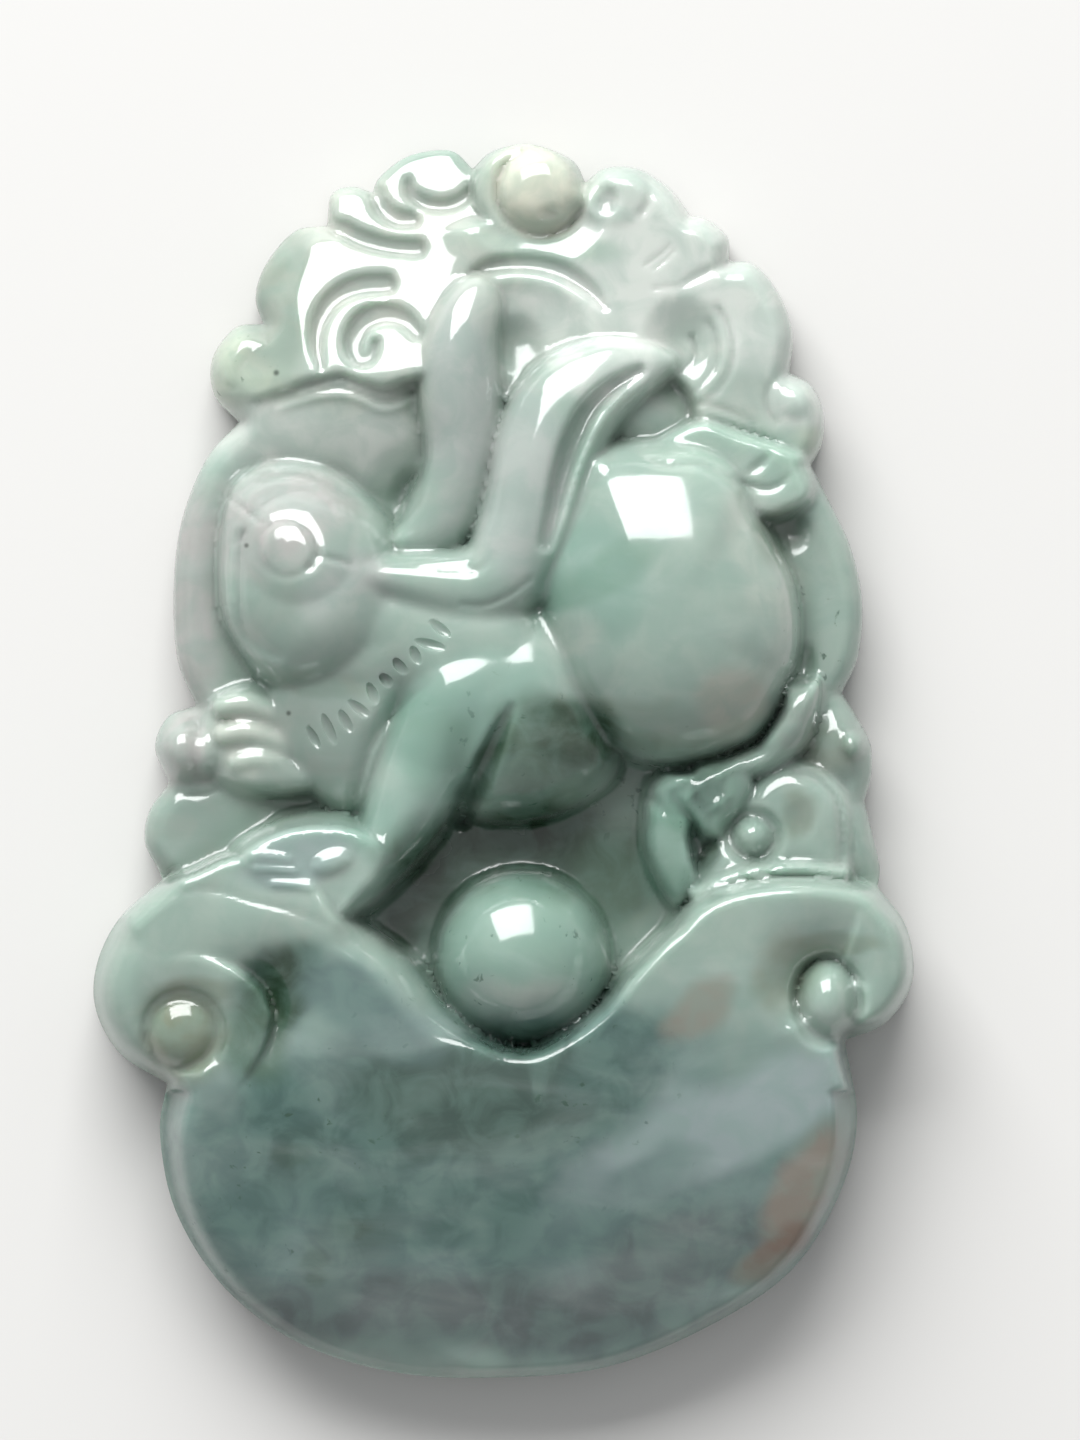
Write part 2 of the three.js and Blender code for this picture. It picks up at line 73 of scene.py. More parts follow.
def spline(rows, closed=False):
    """A smooth line through a few rows of any length: place, then width and height."""
    rows = np.array(rows, float)
    if closed:
        line = np.vstack([rows[-1:], rows, rows[:2]])
    else:
        line = np.vstack([2 * rows[:1] - rows[1:2], rows, 2 * rows[-1:] - rows[-2:-1]])
    t = np.linspace(0, 1, STEPS, endpoint=False)[:, None]
    parts = []
    for a, b, c, d in zip(line, line[1:], line[2:], line[3:]):
        cubic = 3 * (b - c) + d - a
        parts.append(b + t * (c - a + t * (2 * a - 5 * b + 4 * c - d + t * cubic)) / 2)
    return np.vstack(parts if closed else [*parts, rows[-1:]])


def soft_max(a, b, blend=BLEND):
    """The higher of two heights, with a fillet where they meet."""
    near = np.clip(blend - np.abs(a - b), 0, None)
    return np.maximum(a, b) + near**2 / (4 * blend)


def soft_min(a, b, blend=BLEND):
    """The lower of two heights, with the edge between them rounded."""
    return -soft_max(-a, -b, blend)


def quarter(t):
    """Rises from 0 to 1 along a quarter circle."""
    return np.sqrt(1 - (1 - np.clip(t, 0, 1)) ** 2)


def smooth(t):
    """Rises smoothly from 0 to 1."""
    t = np.clip(t, 0, 1)
    return t * t * (3 - 2 * t)


class Sheet:
    """Heights over the face of the pendant, on a square raster."""

    def __init__(self, low, high, margin=0.8):
        self.x, self.y = (np.arange(low[i] - margin, high[i] + margin, RASTER) for i in (0, 1))
        self.X, self.Y = np.meshgrid(self.x, self.y)
        self.z = np.zeros(self.X.shape)

    def window(self, rows, margin):
        """The part of the sheet round some points."""
        low, high = rows[:, :2].min(0) - margin, rows[:, :2].max(0) + margin
        across = slice(*np.searchsorted(self.x, [low[0], high[0]]))
        along = slice(*np.searchsorted(self.y, [low[1], high[1]]))
        return along, across

    def stretches(self, rows):
        """How places lie to each stretch of a smooth line: distance, side, and its width and value there."""
        line = spline(rows)
        area = self.window(line, line[:, 2].max() + AROUND)
        x, y = self.X[area], self.Y[area]
        found = []
        for a, b in zip(line, line[1:]):
            step = b - a
            t = ((x - a[0]) * step[0] + (y - a[1]) * step[1]) / (step[:2] @ step[:2] + TINY)
            t = np.clip(t, 0, 1)
            u, v = x - a[0] - t * step[0], y - a[1] - t * step[1]
            side = step[0] * v - step[1] * u
            found.append([np.hypot(u, v), side, a[2] + t * step[2], a[3] + t * step[3]])
        return area, np.array(found)

    def follow(self, rows, judge):
        """The best of judge(distance, width, value) over the stretches of a smooth line."""
        area, found = self.stretches(rows)
        return area, judge(found[:, 0], found[:, 2], found[:, 3]).max(0)

    def right_of(self, rows, judge):
        """What judge(distance, reach, value) gives on the right-hand side of a line, and 0 elsewhere."""
        area, found = self.stretches(rows)
        nearest = found[:, 0].argmin(0)[None, None]
        distance, side, reach, value = np.take_along_axis(found, nearest, 0)[0]
        fall = np.zeros(self.X.shape)
        fall[area] = np.where(side < 0, judge(distance, reach, value), 0)
        return fall

    def step(self, rows):
        """Grinds down the right-hand side of a line; rows of x, y, reach and depth."""
        self.z -= self.right_of(
            rows, lambda distance, reach, depth: depth * np.clip(1 - distance / reach, 0, 1) ** 2)

    def bevel(self, rows):
        """How far a slope beside a line falls; rows of x, y, reach and slope."""
        return self.right_of(rows, lambda distance, reach, slope: slope * np.minimum(distance, reach))

    def limb(self, rows, side=4.4, blend=BLEND, power=0.5):
        """A rounded ridge along rows of x, y, half width and crest height."""
        def judge(distance, width, crest):
            rise = np.clip(1 - (distance / width) ** 2, 0, 1) ** power
            return side + (crest - side) * rise - WALL * np.clip(distance - width, 0, None)
        area, found = self.follow(rows, judge)
        self.z[area] = soft_max(self.z[area], found, blend)

    def channel(self, rows, power=1.0):
        """A groove along rows of x, y, half width and depth below what is there."""
        def judge(distance, width, depth):
            return depth * np.clip(1 - (distance / width) ** 2, 0, 1) ** power
        area, found = self.follow(rows, judge)
        self.z[area] -= np.clip(found, 0, None)

    def trench(self, rows, wall=3.5):
        """A channel with steep walls, whose floor is level from side to side."""
        def judge(distance, width, level):
            return level - wall * np.clip(distance - width, 0, None)
        rows = [
            [x, y, width, depth - self.z[np.searchsorted(self.y, y), np.searchsorted(self.x, x)]]
            for x, y, width, depth in rows]
        area, found = self.follow(rows, judge)
        self.z[area] = soft_min(self.z[area], -found, 0.1)

    def line(self, points, width, depth):
        """A fine cut line that fades at both ends; a negative depth makes a fine ridge."""
        fade = [math.sin(math.pi * (i + 0.6) / (len(points) + 0.2)) ** 0.5 for i in range(len(points))]
        area, found = self.follow(
            [[x, y, width, strength] for (x, y), strength in zip(points, fade)],
            lambda distance, reach, strength: strength * np.exp(-((distance / reach) ** 2)))
        self.z[area] -= depth * np.clip(found, 0, None)

    def inward(self, outline, reach=3.0):
        """Distance from a closed outline, positive inside it, exact up to the reach."""
        distance = np.full(self.X.shape, float(reach))
        following = np.roll(outline, -1, axis=0)
        for a, b in zip(outline, following):
            area = self.window(np.array([a, b]), reach)
            x, y = self.X[area] - a[0], self.Y[area] - a[1]
            step = b - a
            t = np.clip((x * step[0] + y * step[1]) / (step @ step + TINY), 0, 1)
            distance[area] = np.minimum(distance[area], np.hypot(x - t * step[0], y - t * step[1]))
        inside = np.zeros(self.X.shape, bool)
        for row, y in enumerate(self.y):
            crosses = (outline[:, 1] > y) != (following[:, 1] > y)
            a, b = outline[crosses], following[crosses]
            at = np.sort(a[:, 0] + (b[:, 0] - a[:, 0]) * (y - a[:, 1]) / (b[:, 1] - a[:, 1]))
            inside[row] = np.searchsorted(at, self.x) % 2 == 1
        return np.where(inside, distance, -distance)

    def slab(self, outline, crest, edge, rim, blend=BLEND):
        """A form with a level or sloping top that rolls over at a rim of constant width."""
        depth = self.inward(outline)
        top = edge + (crest - edge) * quarter(depth / rim) + WALL * np.clip(depth, -9, 0)
        self.z = soft_max(self.z, top, blend)
        return depth

    def dome(self, points, centre, crest, edge, fullness=2.4, blend=BLEND):
        """A swelling over an outline; the fullness says how flat its top is."""
        outline = spline(points, closed=True)
        area = self.window(outline, 1 + blend)
        x, y = self.X[area] - centre[0], self.Y[area] - centre[1]
        arms = outline - centre
        angles = np.arctan2(arms[:, 1], arms[:, 0])
        order = np.argsort(angles)
        radius = np.interp(np.arctan2(y, x), angles[order], np.hypot(*arms.T)[order], period=2 * math.pi)
        far = np.hypot(x, y)
        rise = np.clip(1 - (far / radius) ** fullness, 0, 1) ** 0.5
        found = edge + (crest - edge) * rise - WALL * np.clip(far - radius, 0, None)
        self.z[area] = soft_max(self.z[area], found, blend)

    def ball(self, centre, radii, crest, edge, fullness=2.2, turn=0, blend=BLEND):
        """A round or oval swelling."""
        self.dome(oval(centre, radii, turn), centre, crest, edge, fullness, blend)

    def dish(self, centre, radii, depth, turn=0, power=1.5):
        """A soft oval dip below what is there; a negative depth makes a soft rise."""
        area = self.window(np.array(oval(centre, radii, turn)), 0.5)
        x, y = self.X[area] - centre[0], self.Y[area] - centre[1]
        c, s = math.cos(math.radians(turn)), math.sin(math.radians(turn))
        far = ((x * c + y * s) / radii[0]) ** 2 + ((y * c - x * s) / radii[1]) ** 2
        self.z[area] -= depth * np.clip(1 - far, 0, 1) ** power

    def polish(self, radius):
        """Rounds every edge a little, as polishing does."""
        reach = int(math.ceil(3 * radius / RASTER))
        weights = np.exp(-((np.arange(-reach, reach + 1) * RASTER / radius) ** 2) / 2)
        weights /= weights.sum()
        for axis in (0, 1):
            padded = np.pad(self.z, [(reach, reach) if a == axis else (0, 0) for a in (0, 1)], "edge")
            count = self.z.shape[axis]
            self.z = sum(w * padded.take(range(i, i + count), axis) for i, w in enumerate(weights))


def oval(centre, radii, turn=0):
    """Points on an ellipse."""
    c, s = math.cos(math.radians(turn)), math.sin(math.radians(turn))
    angles = np.arange(16) * math.pi / 8
    pairs = [(radii[0] * math.cos(a), radii[1] * math.sin(a)) for a in angles]
    return [[centre[0] + u * c - v * s, centre[1] + u * s + v * c] for u, v in pairs]


def curl(centre, radii, start, sweep, widths, depths, count):
    """Rows along an arc; radius, width and depth are one value, or one for each end."""
    ends = [np.broadcast_to(pair, 2) for pair in (radii, widths, depths)]
    rows = []
    for t in np.linspace(0, 1, count):
        angle = math.radians(start + sweep * t)
        radius, *values = (a + (b - a) * t for a, b in ends)
        rows.append([centre[0] + radius * math.cos(angle), centre[1] + radius * math.sin(angle), *values])
    return rows


stone = Sheet(LOW, HIGH)
print("the sheet holds", stone.z.size, "heights")

# %% [markdown]
# ## The outline
# Seen from the front, the pendant ends in a row of lobes with a sharp notch between neighbours.
# Each lobe is a smooth line of its own, so the notches stay crisp where the lines meet. One long smooth line
# would round them off. The lobes run anticlockwise, and each starts where the one before it ends.

# %% The lobes round the edge
LOBES = {
    "left scroll": [
        [-16.6, -5.8], [-18.7, -7.7], [-19.8, -10], [-19.8, -12.2], [-18.6, -14.3], [-16.35, -15.7]],
    "foot": [
        [-16.7, -18.2], [-15.9, -22], [-13.5, -25.7], [-9.8, -28.4], [-5, -29.8], [0, -30],
        [5, -29.5], [9.8, -27.6], [13.9, -24.9], [16.3, -21.2], [17.2, -17.5], [16.6, -13.6]],
    "right scroll": [[18.6, -12.75], [19.9, -10.7], [19.6, -8.1], [18.2, -6.15]],
    "low right puff": [[18.35, -5.2], [18, -3.6], [17.6, -2]],
    "right puff": [[17.95, -0.7], [17.9, 0.8], [17.3, 2], [16.5, 3.3]],
    "right side": [[17.3, 5.1], [17.5, 7.8], [16.9, 10.5], [15.8, 12.8], [15, 14.4]],
    "right ball": [[15.55, 15.5], [15.6, 17], [15, 18.3], [13.95, 18.9]],
    "cloud, right": [[14.1, 21], [13.3, 23], [12.2, 24.2], [11, 24.35]],
    "cloud, upper right": [[10.95, 25.5], [10, 26.35], [9.1, 26.6]],
    "curl, right of the boss": [[8.2, 27.8], [6.6, 28.85], [5, 28.9], [4, 28.2]],
    "boss": [[3.3, 29.3], [1.2, 30], [-0.6, 29.65], [-1.5, 28.85]],
    "curl, left of the boss": [[-2.6, 29.75], [-4.6, 29.5], [-6, 28.5], [-6.4, 27.7]],
    "cloud, upper left": [[-7.4, 28], [-8.4, 27.6], [-8.6, 26.1]],
    "cloud, left": [[-10.2, 25.8], [-11.6, 24.2], [-12.1, 22.6], [-11.75, 21.3]],
    "left ball": [[-13.1, 21.1], [-14.2, 19.6], [-14.1, 17.8], [-12.9, 16.5]],
    "left side": [[-14.5, 14.7], [-15.7, 11.7], [-16.1, 8.3], [-15.9, 4.9], [-15, 2.7]],
    "left puff": [[-16.4, 2.1], [-17, 0.6], [-16.3, -1.1]],
    "low left puff": [[-17.3, -2.5], [-17.5, -4], [-16.9, -5.2], [-16.6, -5.8]],
}


def lobed(lobes):
    """One closed outline from lobes that each start where the one before ends."""
    parts, corner = [], list(lobes.values())[-1][-1]
    for points in lobes.values():
        parts.append(spline([corner, *points])[:-1])
        corner = points[-1]
    return np.vstack(parts)


OUTLINE = lobed(LOBES)
edge_distance = stone.inward(OUTLINE)
print("the outline has", len(OUTLINE), "points in", len(LOBES), "lobes")

# %% [markdown]
# ## The ground
# Behind the rabbit lies a level ground. It is cut deeper round the pearl and in the pockets between
# the ears and the clouds, where the stone is thin and lies in shade. Deep pockets are soft dips, so their
# walls run out smoothly.

# %% Level ground and deep pockets
PLATE = 4.2
FLOOR = 3.1

stone.z[:] = PLATE
deep = stone.inward(spline([
    [-4, -1.6], [1, -0.6], [6, 0.6], [8.2, -1.4], [7.6, -4.6], [8.4, -7.2], [5.9, -11], [0.2, -17],
    [-5.4, -11], [-7.6, -7.6]], closed=True))
stone.z -= (PLATE - FLOOR) * np.clip(deep / 0.8 + 0.5, 0, 1)
stone.z -= 1.3 * np.clip((stone.Y - 24) / 2, 0, 1) ** 2
for dip in (
    ([-8, 17.8], [6.2, 5.6], -1.9), ([-4.7, 12.6], [2.2, 3.2], 0.4), ([-9.6, -2], [3.2, 1.5], 0.45, -22),
    ([13.9, 11.4], [1.2, 1.6], 0.5, 25), ([14.6, 4.8], [0.7, 1.2], 0.5),
):
    stone.dish(*dip)
print("the ground lies between", stone.z.min().round(2), "and", stone.z.max().round(2))

# %% [markdown]
# ## The clouds
# The clouds are one mass. Its left half is ground to a slope that falls towards the top edge, so it catches
# the light of a window, and its right half is nearly level. Curled channels with blunt ends are ground
# into it, and balls close the curls.

# %% Cloud mass
CLOUD_RIDGE = 6.8
CLOUD_FALL = 0.34       # fall of the left half towards the top edge
CLOUD_LEVEL = 5.5       # height of the right half
BOSS = [1.8, 27.7]


def cloud_crest(x, y):
    """The left half slopes to the top edge, and the right half is nearly level."""
    left = CLOUD_RIDGE - CLOUD_FALL * np.clip(y - 18.7, 0, 11)
    right = CLOUD_LEVEL - 0.05 * np.clip(y - 20, 0, 9) - 0.06 * np.clip(x - 9, 0, 6)
    return left + (right - left) * smooth((x + 3.6) / 2.4 - 1.1 * smooth((y - 25.6) / 1.4))


cloud_outline = spline([
    [-12.9, 17.5], [-10.4, 17.6], [-9.7, 17.9], [-8, 18.3], [-6.9, 18], [-6, 17.7], [-5.2, 17.85],
    [-4.5, 18.1], [-3, 18.2], [0, 17], [3.6, 17.4], [6.6, 18.6], [8.6, 18], [9.6, 15.6], [12, 14],
    [15.2, 14], [16.5, 18], [16, 23], [12, 28], [6, 31], [-2, 32], [-8, 30], [-12, 27], [-14, 22],
], closed=True)
left_fall = stone.bevel([
    [-8.9, 26.9, 4, 0.1], [-9.04, 26.05, 4, 0.7], [-9.43, 24.4, 4, 0.85], [-9.92, 22.9, 4, 0.85],
    [-10, 22, 4, 0.8], [-9.7, 20.5, 4, 0.6], [-9.04, 18.9, 4, 0.35], [-8.4, 18.2, 4, 0.05]])
stone.slab(cloud_outline, cloud_crest(stone.X, stone.Y) - left_fall, 3, 0.7)
from_boss = np.hypot(stone.X - BOSS[0], stone.Y - BOSS[1])
stone.z -= 0.45 * np.clip(3.7 - from_boss, 0, 1.4) * smooth((27.4 - stone.Y) / 1.2)
stone.dish([6.3, 16.6], [3.4, 2.6], -1.2, turn=-25)
print("the clouds rise to", stone.z.max().round(2))

# %% Curls and channels at the left
for rows in (
    [[-6.21, 27.66, 0.3, 0.45], [-5.97, 27.03, 0.36, 0.5], [-5.53, 26.59, 0.36, 0.5],
     [-5, 26.39, 0.36, 0.5], [-4.41, 26.39, 0.34, 0.45]],
    [[-8.51, 26.15, 0.3, 0.4], [-7.73, 25.81, 0.36, 0.45], [-6.99, 25.42, 0.36, 0.5],
     [-6.02, 25.13, 0.36, 0.5], [-5.04, 24.98, 0.36, 0.5], [-4.17, 24.93, 0.36, 0.45]],
    [[-5.68, 23.18, 0.42, 0.5], [-6.75, 23.13, 0.44, 0.5], [-7.58, 22.88, 0.42, 0.5],
     [-8.31, 22.35, 0.38, 0.5], [-8.8, 21.57, 0.34, 0.5], [-9.04, 20.74, 0.3, 0.45],
     [-9.04, 19.91, 0.26, 0.4], [-8.85, 19.13, 0.2, 0.25]],
    [[-4.12, 20.74, 0.3, 0.35], [-4.8, 21.42, 0.38, 0.45], [-5.73, 21.71, 0.44, 0.55],
     [-6.6, 21.47, 0.48, 0.6], [-7.09, 20.84, 0.46, 0.65], [-7.24, 20.11, 0.42, 0.65],
     [-6.95, 19.52, 0.34, 0.65], [-6.46, 19.67, 0.26, 0.6], [-6.26, 20.25, 0.2, 0.5]],
    [[-4.65, 28.24, 0.14, 0.25], [-4.46, 27.61, 0.24, 0.4], [-3.87, 27.17, 0.28, 0.45],
     [-3.05, 27.03, 0.28, 0.45], [-2.22, 27.22, 0.28, 0.4], [-1.63, 27.71, 0.26, 0.35],
     [-1.34, 28.29, 0.2, 0.25]],
):
    stone.trench(rows)
print("five channels are cut at the left")

# %% Halo over the ears
stone.trench([
    [-2.36, 22.83, 0.1, 0.1], [-1.63, 23.47, 0.2, 0.35], [-0.66, 23.91, 0.32, 0.5], [0.56, 24.1, 0.36, 0.55],
    [1.78, 24.05, 0.36, 0.55], [3, 23.66, 0.32, 0.5], [4.12, 22.93, 0.24, 0.4], [5, 22.01, 0.12, 0.2]], 2)
stone.limb([
    [-2.6, 22.8, 0.3, 5.1], [-1.2, 23.3, 0.35, 5.2], [0.8, 23.5, 0.35, 5.2], [2.7, 23.15, 0.35, 5.1],
    [4.2, 22.2, 0.3, 4.9]], 4.6, 0.2)
stone.dish([1.3, 21], [3, 2.5], 0.5, turn=-20, power=0.9)
stone.dish([0.7, 20.3], [1.4, 1.5], 0.4)
print("the halo curves over the ears")

# %% Curls at the right
RIGHT_EYE = [8.1, 20]
stone.step(curl(RIGHT_EYE, 3.15, -72, 110, 0.7, (0.1, 0.3), 8)[::-1])
stone.step(curl(RIGHT_EYE, (2.45, 2.4), -62, 95, 0.5, (0.2, 0.25), 8)[::-1])
stone.dish([8.7, 20.3], [2.2, 2.5], 0.7)
for rows in (
    curl(RIGHT_EYE, (1.25, 1.2), -60, 90, (0.2, 0.18), (0.2, 0.25), 6),
    [[11.2, 24.3, 0.3, 0.3], [10, 23.8, 0.3, 0.2], [9, 23.3, 0.3, 0.15], [8.3, 22.8, 0.2, 0.05]],
    [[9.5, 16.8, 0.22, 0.1], [10.6, 16.4, 0.24, 0.25], [12.3, 15.8, 0.24, 0.3], [14.1, 15, 0.22, 0.25]],
    [[9.2, 17.4, 0.2, 0.1], [10.6, 17.1, 0.2, 0.15], [12.2, 16.4, 0.2, 0.1]],
):
    stone.channel(rows)
print("a stepped curl winds round", RIGHT_EYE)

# %% Balls and puffs at the edge
for ball in (
    ([-12.5, 19.1], [1.95, 2.2], 4.9, 3, 6), ([5.5, 27.5], [1.9, 1.8], 5.3, 4.2, 5),
    ([14.2, 17.5], [1.35, 1.35], 5.5, 3.6), ([-15.6, 0.5], [1.5, 1.7], 5.6, 3),
    ([-14.6, 0.4], [0.9, 1.3], 5.5, 3.6), ([16.2, 0.7], [1.7, 2.2], 4.8, 3.2),
    ([17, 0.8], [0.7, 0.75], 5.3, 4), ([16.6, -3.8], [1.9, 2.8], 4.6, 3.2),
):
    stone.ball(*ball)
for arc in (
    ([-12.7, 19.6], 1.5, 60, -25, 0.2, (0.15, 0.2), 4), ([-12.7, 19.6], 1.6, 178, 75, 0.2, (0.1, 0.2), 6),
    ([5.3, 27.7], 1.75, 40, -80, 0.2, (0.15, 0.2), 6),
    ([14.2, 17.5], (1.45, 1.4), 130, 100, 0.2, (0.2, 0.15), 6),
):
    stone.channel(curl(*arc))
stone.dish([4.95, 27.3], [0.7, 0.85], 0.5, power=0.8)
stone.step([[-16.3, -1.3, 0.5, 0.15], [-15, -1.55, 0.6, 0.3], [-13.7, -1.2, 0.5, 0.15]])
print("balls close the curls")

# %% Boss for the cord
stone.ball([1.3, 27.8], [2.75, 2.6], 4.9, 4, 8)
stone.channel(curl(BOSS, 2.15, 0, 360, 0.24, 0.35, 20))
stone.ball(BOSS, [2.08, 1.85], 5.9, 4.2, 3)
stone.dish([2.3, 26.6], [0.7, 0.35], 0.25)
print("the boss rises to", stone.z[stone.Y > 27].max().round(2))

# %% [markdown]
# ## The rabbit
# The haunch is the highest form, then the head. The neck and belly lie lower, and both ears
# sweep back over them. A limb is a rounded ridge along a line that carries its width and height, so one
# function makes the ears, the legs and the toes.

# %% Tail
stone.slab(spline([
    [6.26, 15.04], [7.63, 15.72], [9.58, 16.5], [11.53, 15.91], [13.96, 15.13], [14.99, 14.55],
    [15.18, 13.67], [14.84, 12.7], [13.96, 12.06], [12.89, 11.77], [11.92, 11.97], [11.19, 12.7],
    [10.31, 13.18], [9.09, 13.57], [7.63, 14.06]], closed=True), 6.1, 5.2, 0.5, 0.2)
stone.channel([
    [11.82, 13.96, 0.2, 0.1], [12.36, 14.31, 0.3, 0.22], [12.89, 14.89, 0.2, 0.1]])
print("the tail ends at", 13.2, 13.4)

# %% Chest and back
stone.dome([
    [-11.4, 3.6], [-11, 1], [-10, -0.9], [-8.6, -2.2], [-7.2, -2.6], [-6, -1.5], [-4.6, 2], [-3.2, 4.6],
    [-4.8, 6.4], [-8, 5.4]], [-6.6, 4.2], 7.2, 4.2, 2.2)
stone.dome([
    [-7, 6.6], [-4.4, 8], [-1, 8.6], [2.2, 8.3], [4.6, 6.4], [5.4, 3], [5.7, -0.2], [4.2, -1.9], [1.8, -2.9],
    [-1.2, -2.9], [-3.4, -1.2], [-5.6, 2]], [0.4, 1.9], 8.2, 4, 2, 0.6)
print("the back and belly rise to", stone.z.max().round(2))

# %% Head
stone.dome([
    [-13.7, 11.7], [-13.4, 12.9], [-12.8, 13.8], [-11.6, 14.4], [-10.3, 14.6], [-8.9, 14.4], [-7.7, 13.8],
    [-6.5, 12.8], [-5.7, 11.9], [-5.3, 11], [-5, 9.8], [-5.4, 7.8], [-6.2, 5.8], [-7.4, 4.2], [-8.5, 3.5],
    [-9.9, 3.3], [-11.1, 3.5], [-12.1, 4.3], [-12.9, 5.4], [-13.6, 6.8], [-13.9, 8.3],
    [-13.9, 10.3]], [-8.9, 7.4], 8.9, 4.4, 2.1, 0.4)
stone.limb([[-8.4, 7, 2.8, 8.1], [-6.2, 6.6, 3, 7.8], [-3.6, 6.6, 2.5, 7.5], [-0.5, 6.6, 2, 7.2]], 5, 1.6)
EYE = [-10.4, 10.25]
stone.dish([-9.9, 10.3], [2.7, 2.7], -0.6, power=1)
stone.channel([
    [-13.1, 12.8, 0.2, 0.2], [-11.8, 13.75, 0.26, 0.3], [-10.4, 14.05, 0.28, 0.3], [-9.1, 13.8, 0.28, 0.3],
    [-7.9, 13.1, 0.26, 0.3], [-6.7, 12.1, 0.2, 0.2]])
stone.channel(curl(EYE, 1.42, 130, -170, (0.22, 0.26), (0.12, 0.26), 10))
stone.channel(curl(EYE, 1.36, 130, 190, 0.16, (0.08, 0.12), 10))
stone.ball(EYE, [1.25, 1.25], 8.8, 8.5, 6)
stone.ball([-10.2, 10.5], [0.45, 0.45], 9, 8.8)
print("the eye is at", EYE)

# %% Ears
stone.limb([
    [-4.7, 10.7, 0.8, 6.5], [-3.7, 11.05, 1.4, 6.65], [-2.9, 12.1, 1.75, 6.75], [-2.4, 13.1, 1.7, 6.8],
    [-2.1, 14.3, 1.7, 6.9], [-1.95, 15.7, 1.85, 7.1], [-2.1, 17.6, 2.05, 7.4], [-2.2, 19.3, 2, 7.5],
    [-2, 20.7, 1.8, 7.3], [-1.5, 22, 1.45, 6.8], [-1.2, 22.7, 0.9, 6.3]], side=5.2)
stone.limb([
    [4.7, 14.16, 0.8, 7.6], [4.02, 12.7, 0.8, 7.5], [3.39, 11.23, 0.8, 7.4], [2.66, 9.67, 0.9, 7.3],
    [1.78, 8.31, 1, 7.2]], 5, 0.8)
stone.limb([
    [-7.9, 9.2, 0.9, 8.2], [-5.8, 8.9, 1.2, 8], [-3.8, 8.6, 1.6, 7.9], [-1.6, 8.4, 2, 7.9],
    [0.1, 9.1, 2.3, 8.2], [1.1, 11, 2.45, 8.4], [1.65, 13, 2.5, 8.5], [2.15, 15.1, 2.6, 8.4],
    [3.1, 17.05, 2.6, 8.1], [4.7, 18.4, 2.05, 7.5], [6.6, 19.1, 1.25, 6.8], [7.8, 19.3, 0.6, 6.2]],
    side=5.6, blend=0.4, power=0.45)
stone.channel([
    [6.6, 18.9, 0.35, 0.4], [5.3, 18.1, 0.5, 0.8], [4.2, 17, 0.6, 1], [3.45, 15.6, 0.65, 1],
    [2.85, 13.9, 0.6, 1], [2.45, 12.2, 0.5, 0.8], [2.05, 10.5, 0.4, 0.4]], 0.8)
stone.step([
    [-0.6, 9.6, 0.8, 0.1], [-1.4, 9.1, 0.8, 0.26], [-2.9, 9.15, 0.8, 0.2], [-4.2, 9.25, 0.8, 0.1],
    [-6.2, 9.45, 0.9, 0.05], [-8.1, 9.7, 0.6, 0.02]])
stone.dish([-4.7, 12.9], [1, 1.6], 0.5, turn=-15)
print("both ears sweep back from the head")

# %% Haunch
stone.dome([
    [4.12, 15.04], [6.46, 15.62], [9.19, 15.47], [11.19, 14.45], [12.21, 12.31], [13.38, 10.31],
    [14.16, 8.51], [14.45, 6.6], [14.31, 5.09], [13.82, 3.92], [13.38, 2.61], [12.31, 1.19], [10.94, 0.46],
    [9.58, 0.02], [8.12, -0.22], [6.65, 0.02], [5.19, 0.76], [4.12, 1.88], [3.05, 3.29], [2.36, 5.09],
    [1.68, 7.19], [1.68, 9.67], [2.56, 12.21]], [8.2, 6.9], 10.1, 4.8, 2.15, 0.4)
stone.line([[11.3, 12.7], [12, 11], [12.9, 9.5], [13.35, 7.8], [13.4, 5.9], [13, 3.9]], 0.7, -0.25)
stone.channel([
    [6.65, 14.65, 0.16, 0.1], [7.87, 14.31, 0.2, 0.2], [9.58, 14.31, 0.22, 0.25], [10.65, 13.82, 0.22, 0.28],
    [11.62, 13.43, 0.22, 0.28], [12.75, 13.18, 0.2, 0.25], [13.43, 13.43, 0.2, 0.2],
    [13.82, 13.92, 0.16, 0.1]])
stone.line([[1.9, 8.5], [3.3, 11], [3.9, 12.5], [4.6, 13.7]], 0.14, 0.12)
print("the haunch rises to", stone.z.max().round(2))

# %% Forelegs
stone.limb([
    [-0.6, 4.4, 2.2, 7.6], [-2.3, 2.9, 2.6, 8.1], [-3.3, 1.15, 2.5, 8], [-4.25, -1.15, 2.3, 7.8],
    [-5.05, -3.05, 1.9, 7.6]], 4.8, 0.6)
stone.step([
    [-7.34, -3.39, 0.6, 0.1], [-6.9, -1.19, 1, 0.3], [-6.07, 1.1, 1.2, 0.35], [-4.65, 2.75, 1.2, 0.3],
    [-3.68, 3.53, 0.8, 0.1]][::-1])
stone.channel([
    [0.4, 2.6, 0.3, 0.2], [-0.2, 1.4, 0.55, 0.6], [-0.9, -0.2, 0.7, 0.9], [-1.6, -1.8, 0.8, 1.1],
    [-2.1, -2.8, 0.6, 0.8]], 1.2)
stone.ball([-12.1, 1], [2.7, 2.8], 5.6, 4, blend=0.6)
for x, y in ((-12.6, 2.75), (-12.5, 1.4), (-11.9, 0.05)):
    stone.limb([
        [x - 1, y - 0.15, 0.55, 5.9], [x, y, 0.7, 6.05], [x + 1.2, y - 0.35, 0.55, 5.8],
        [x + 2, y - 0.8, 0.4, 5.5]], 5.2)
stone.ball([-11.2, -0.75], [2.5, 0.9], 5.9, 4.6, turn=-4)
print("the forelegs are carved")

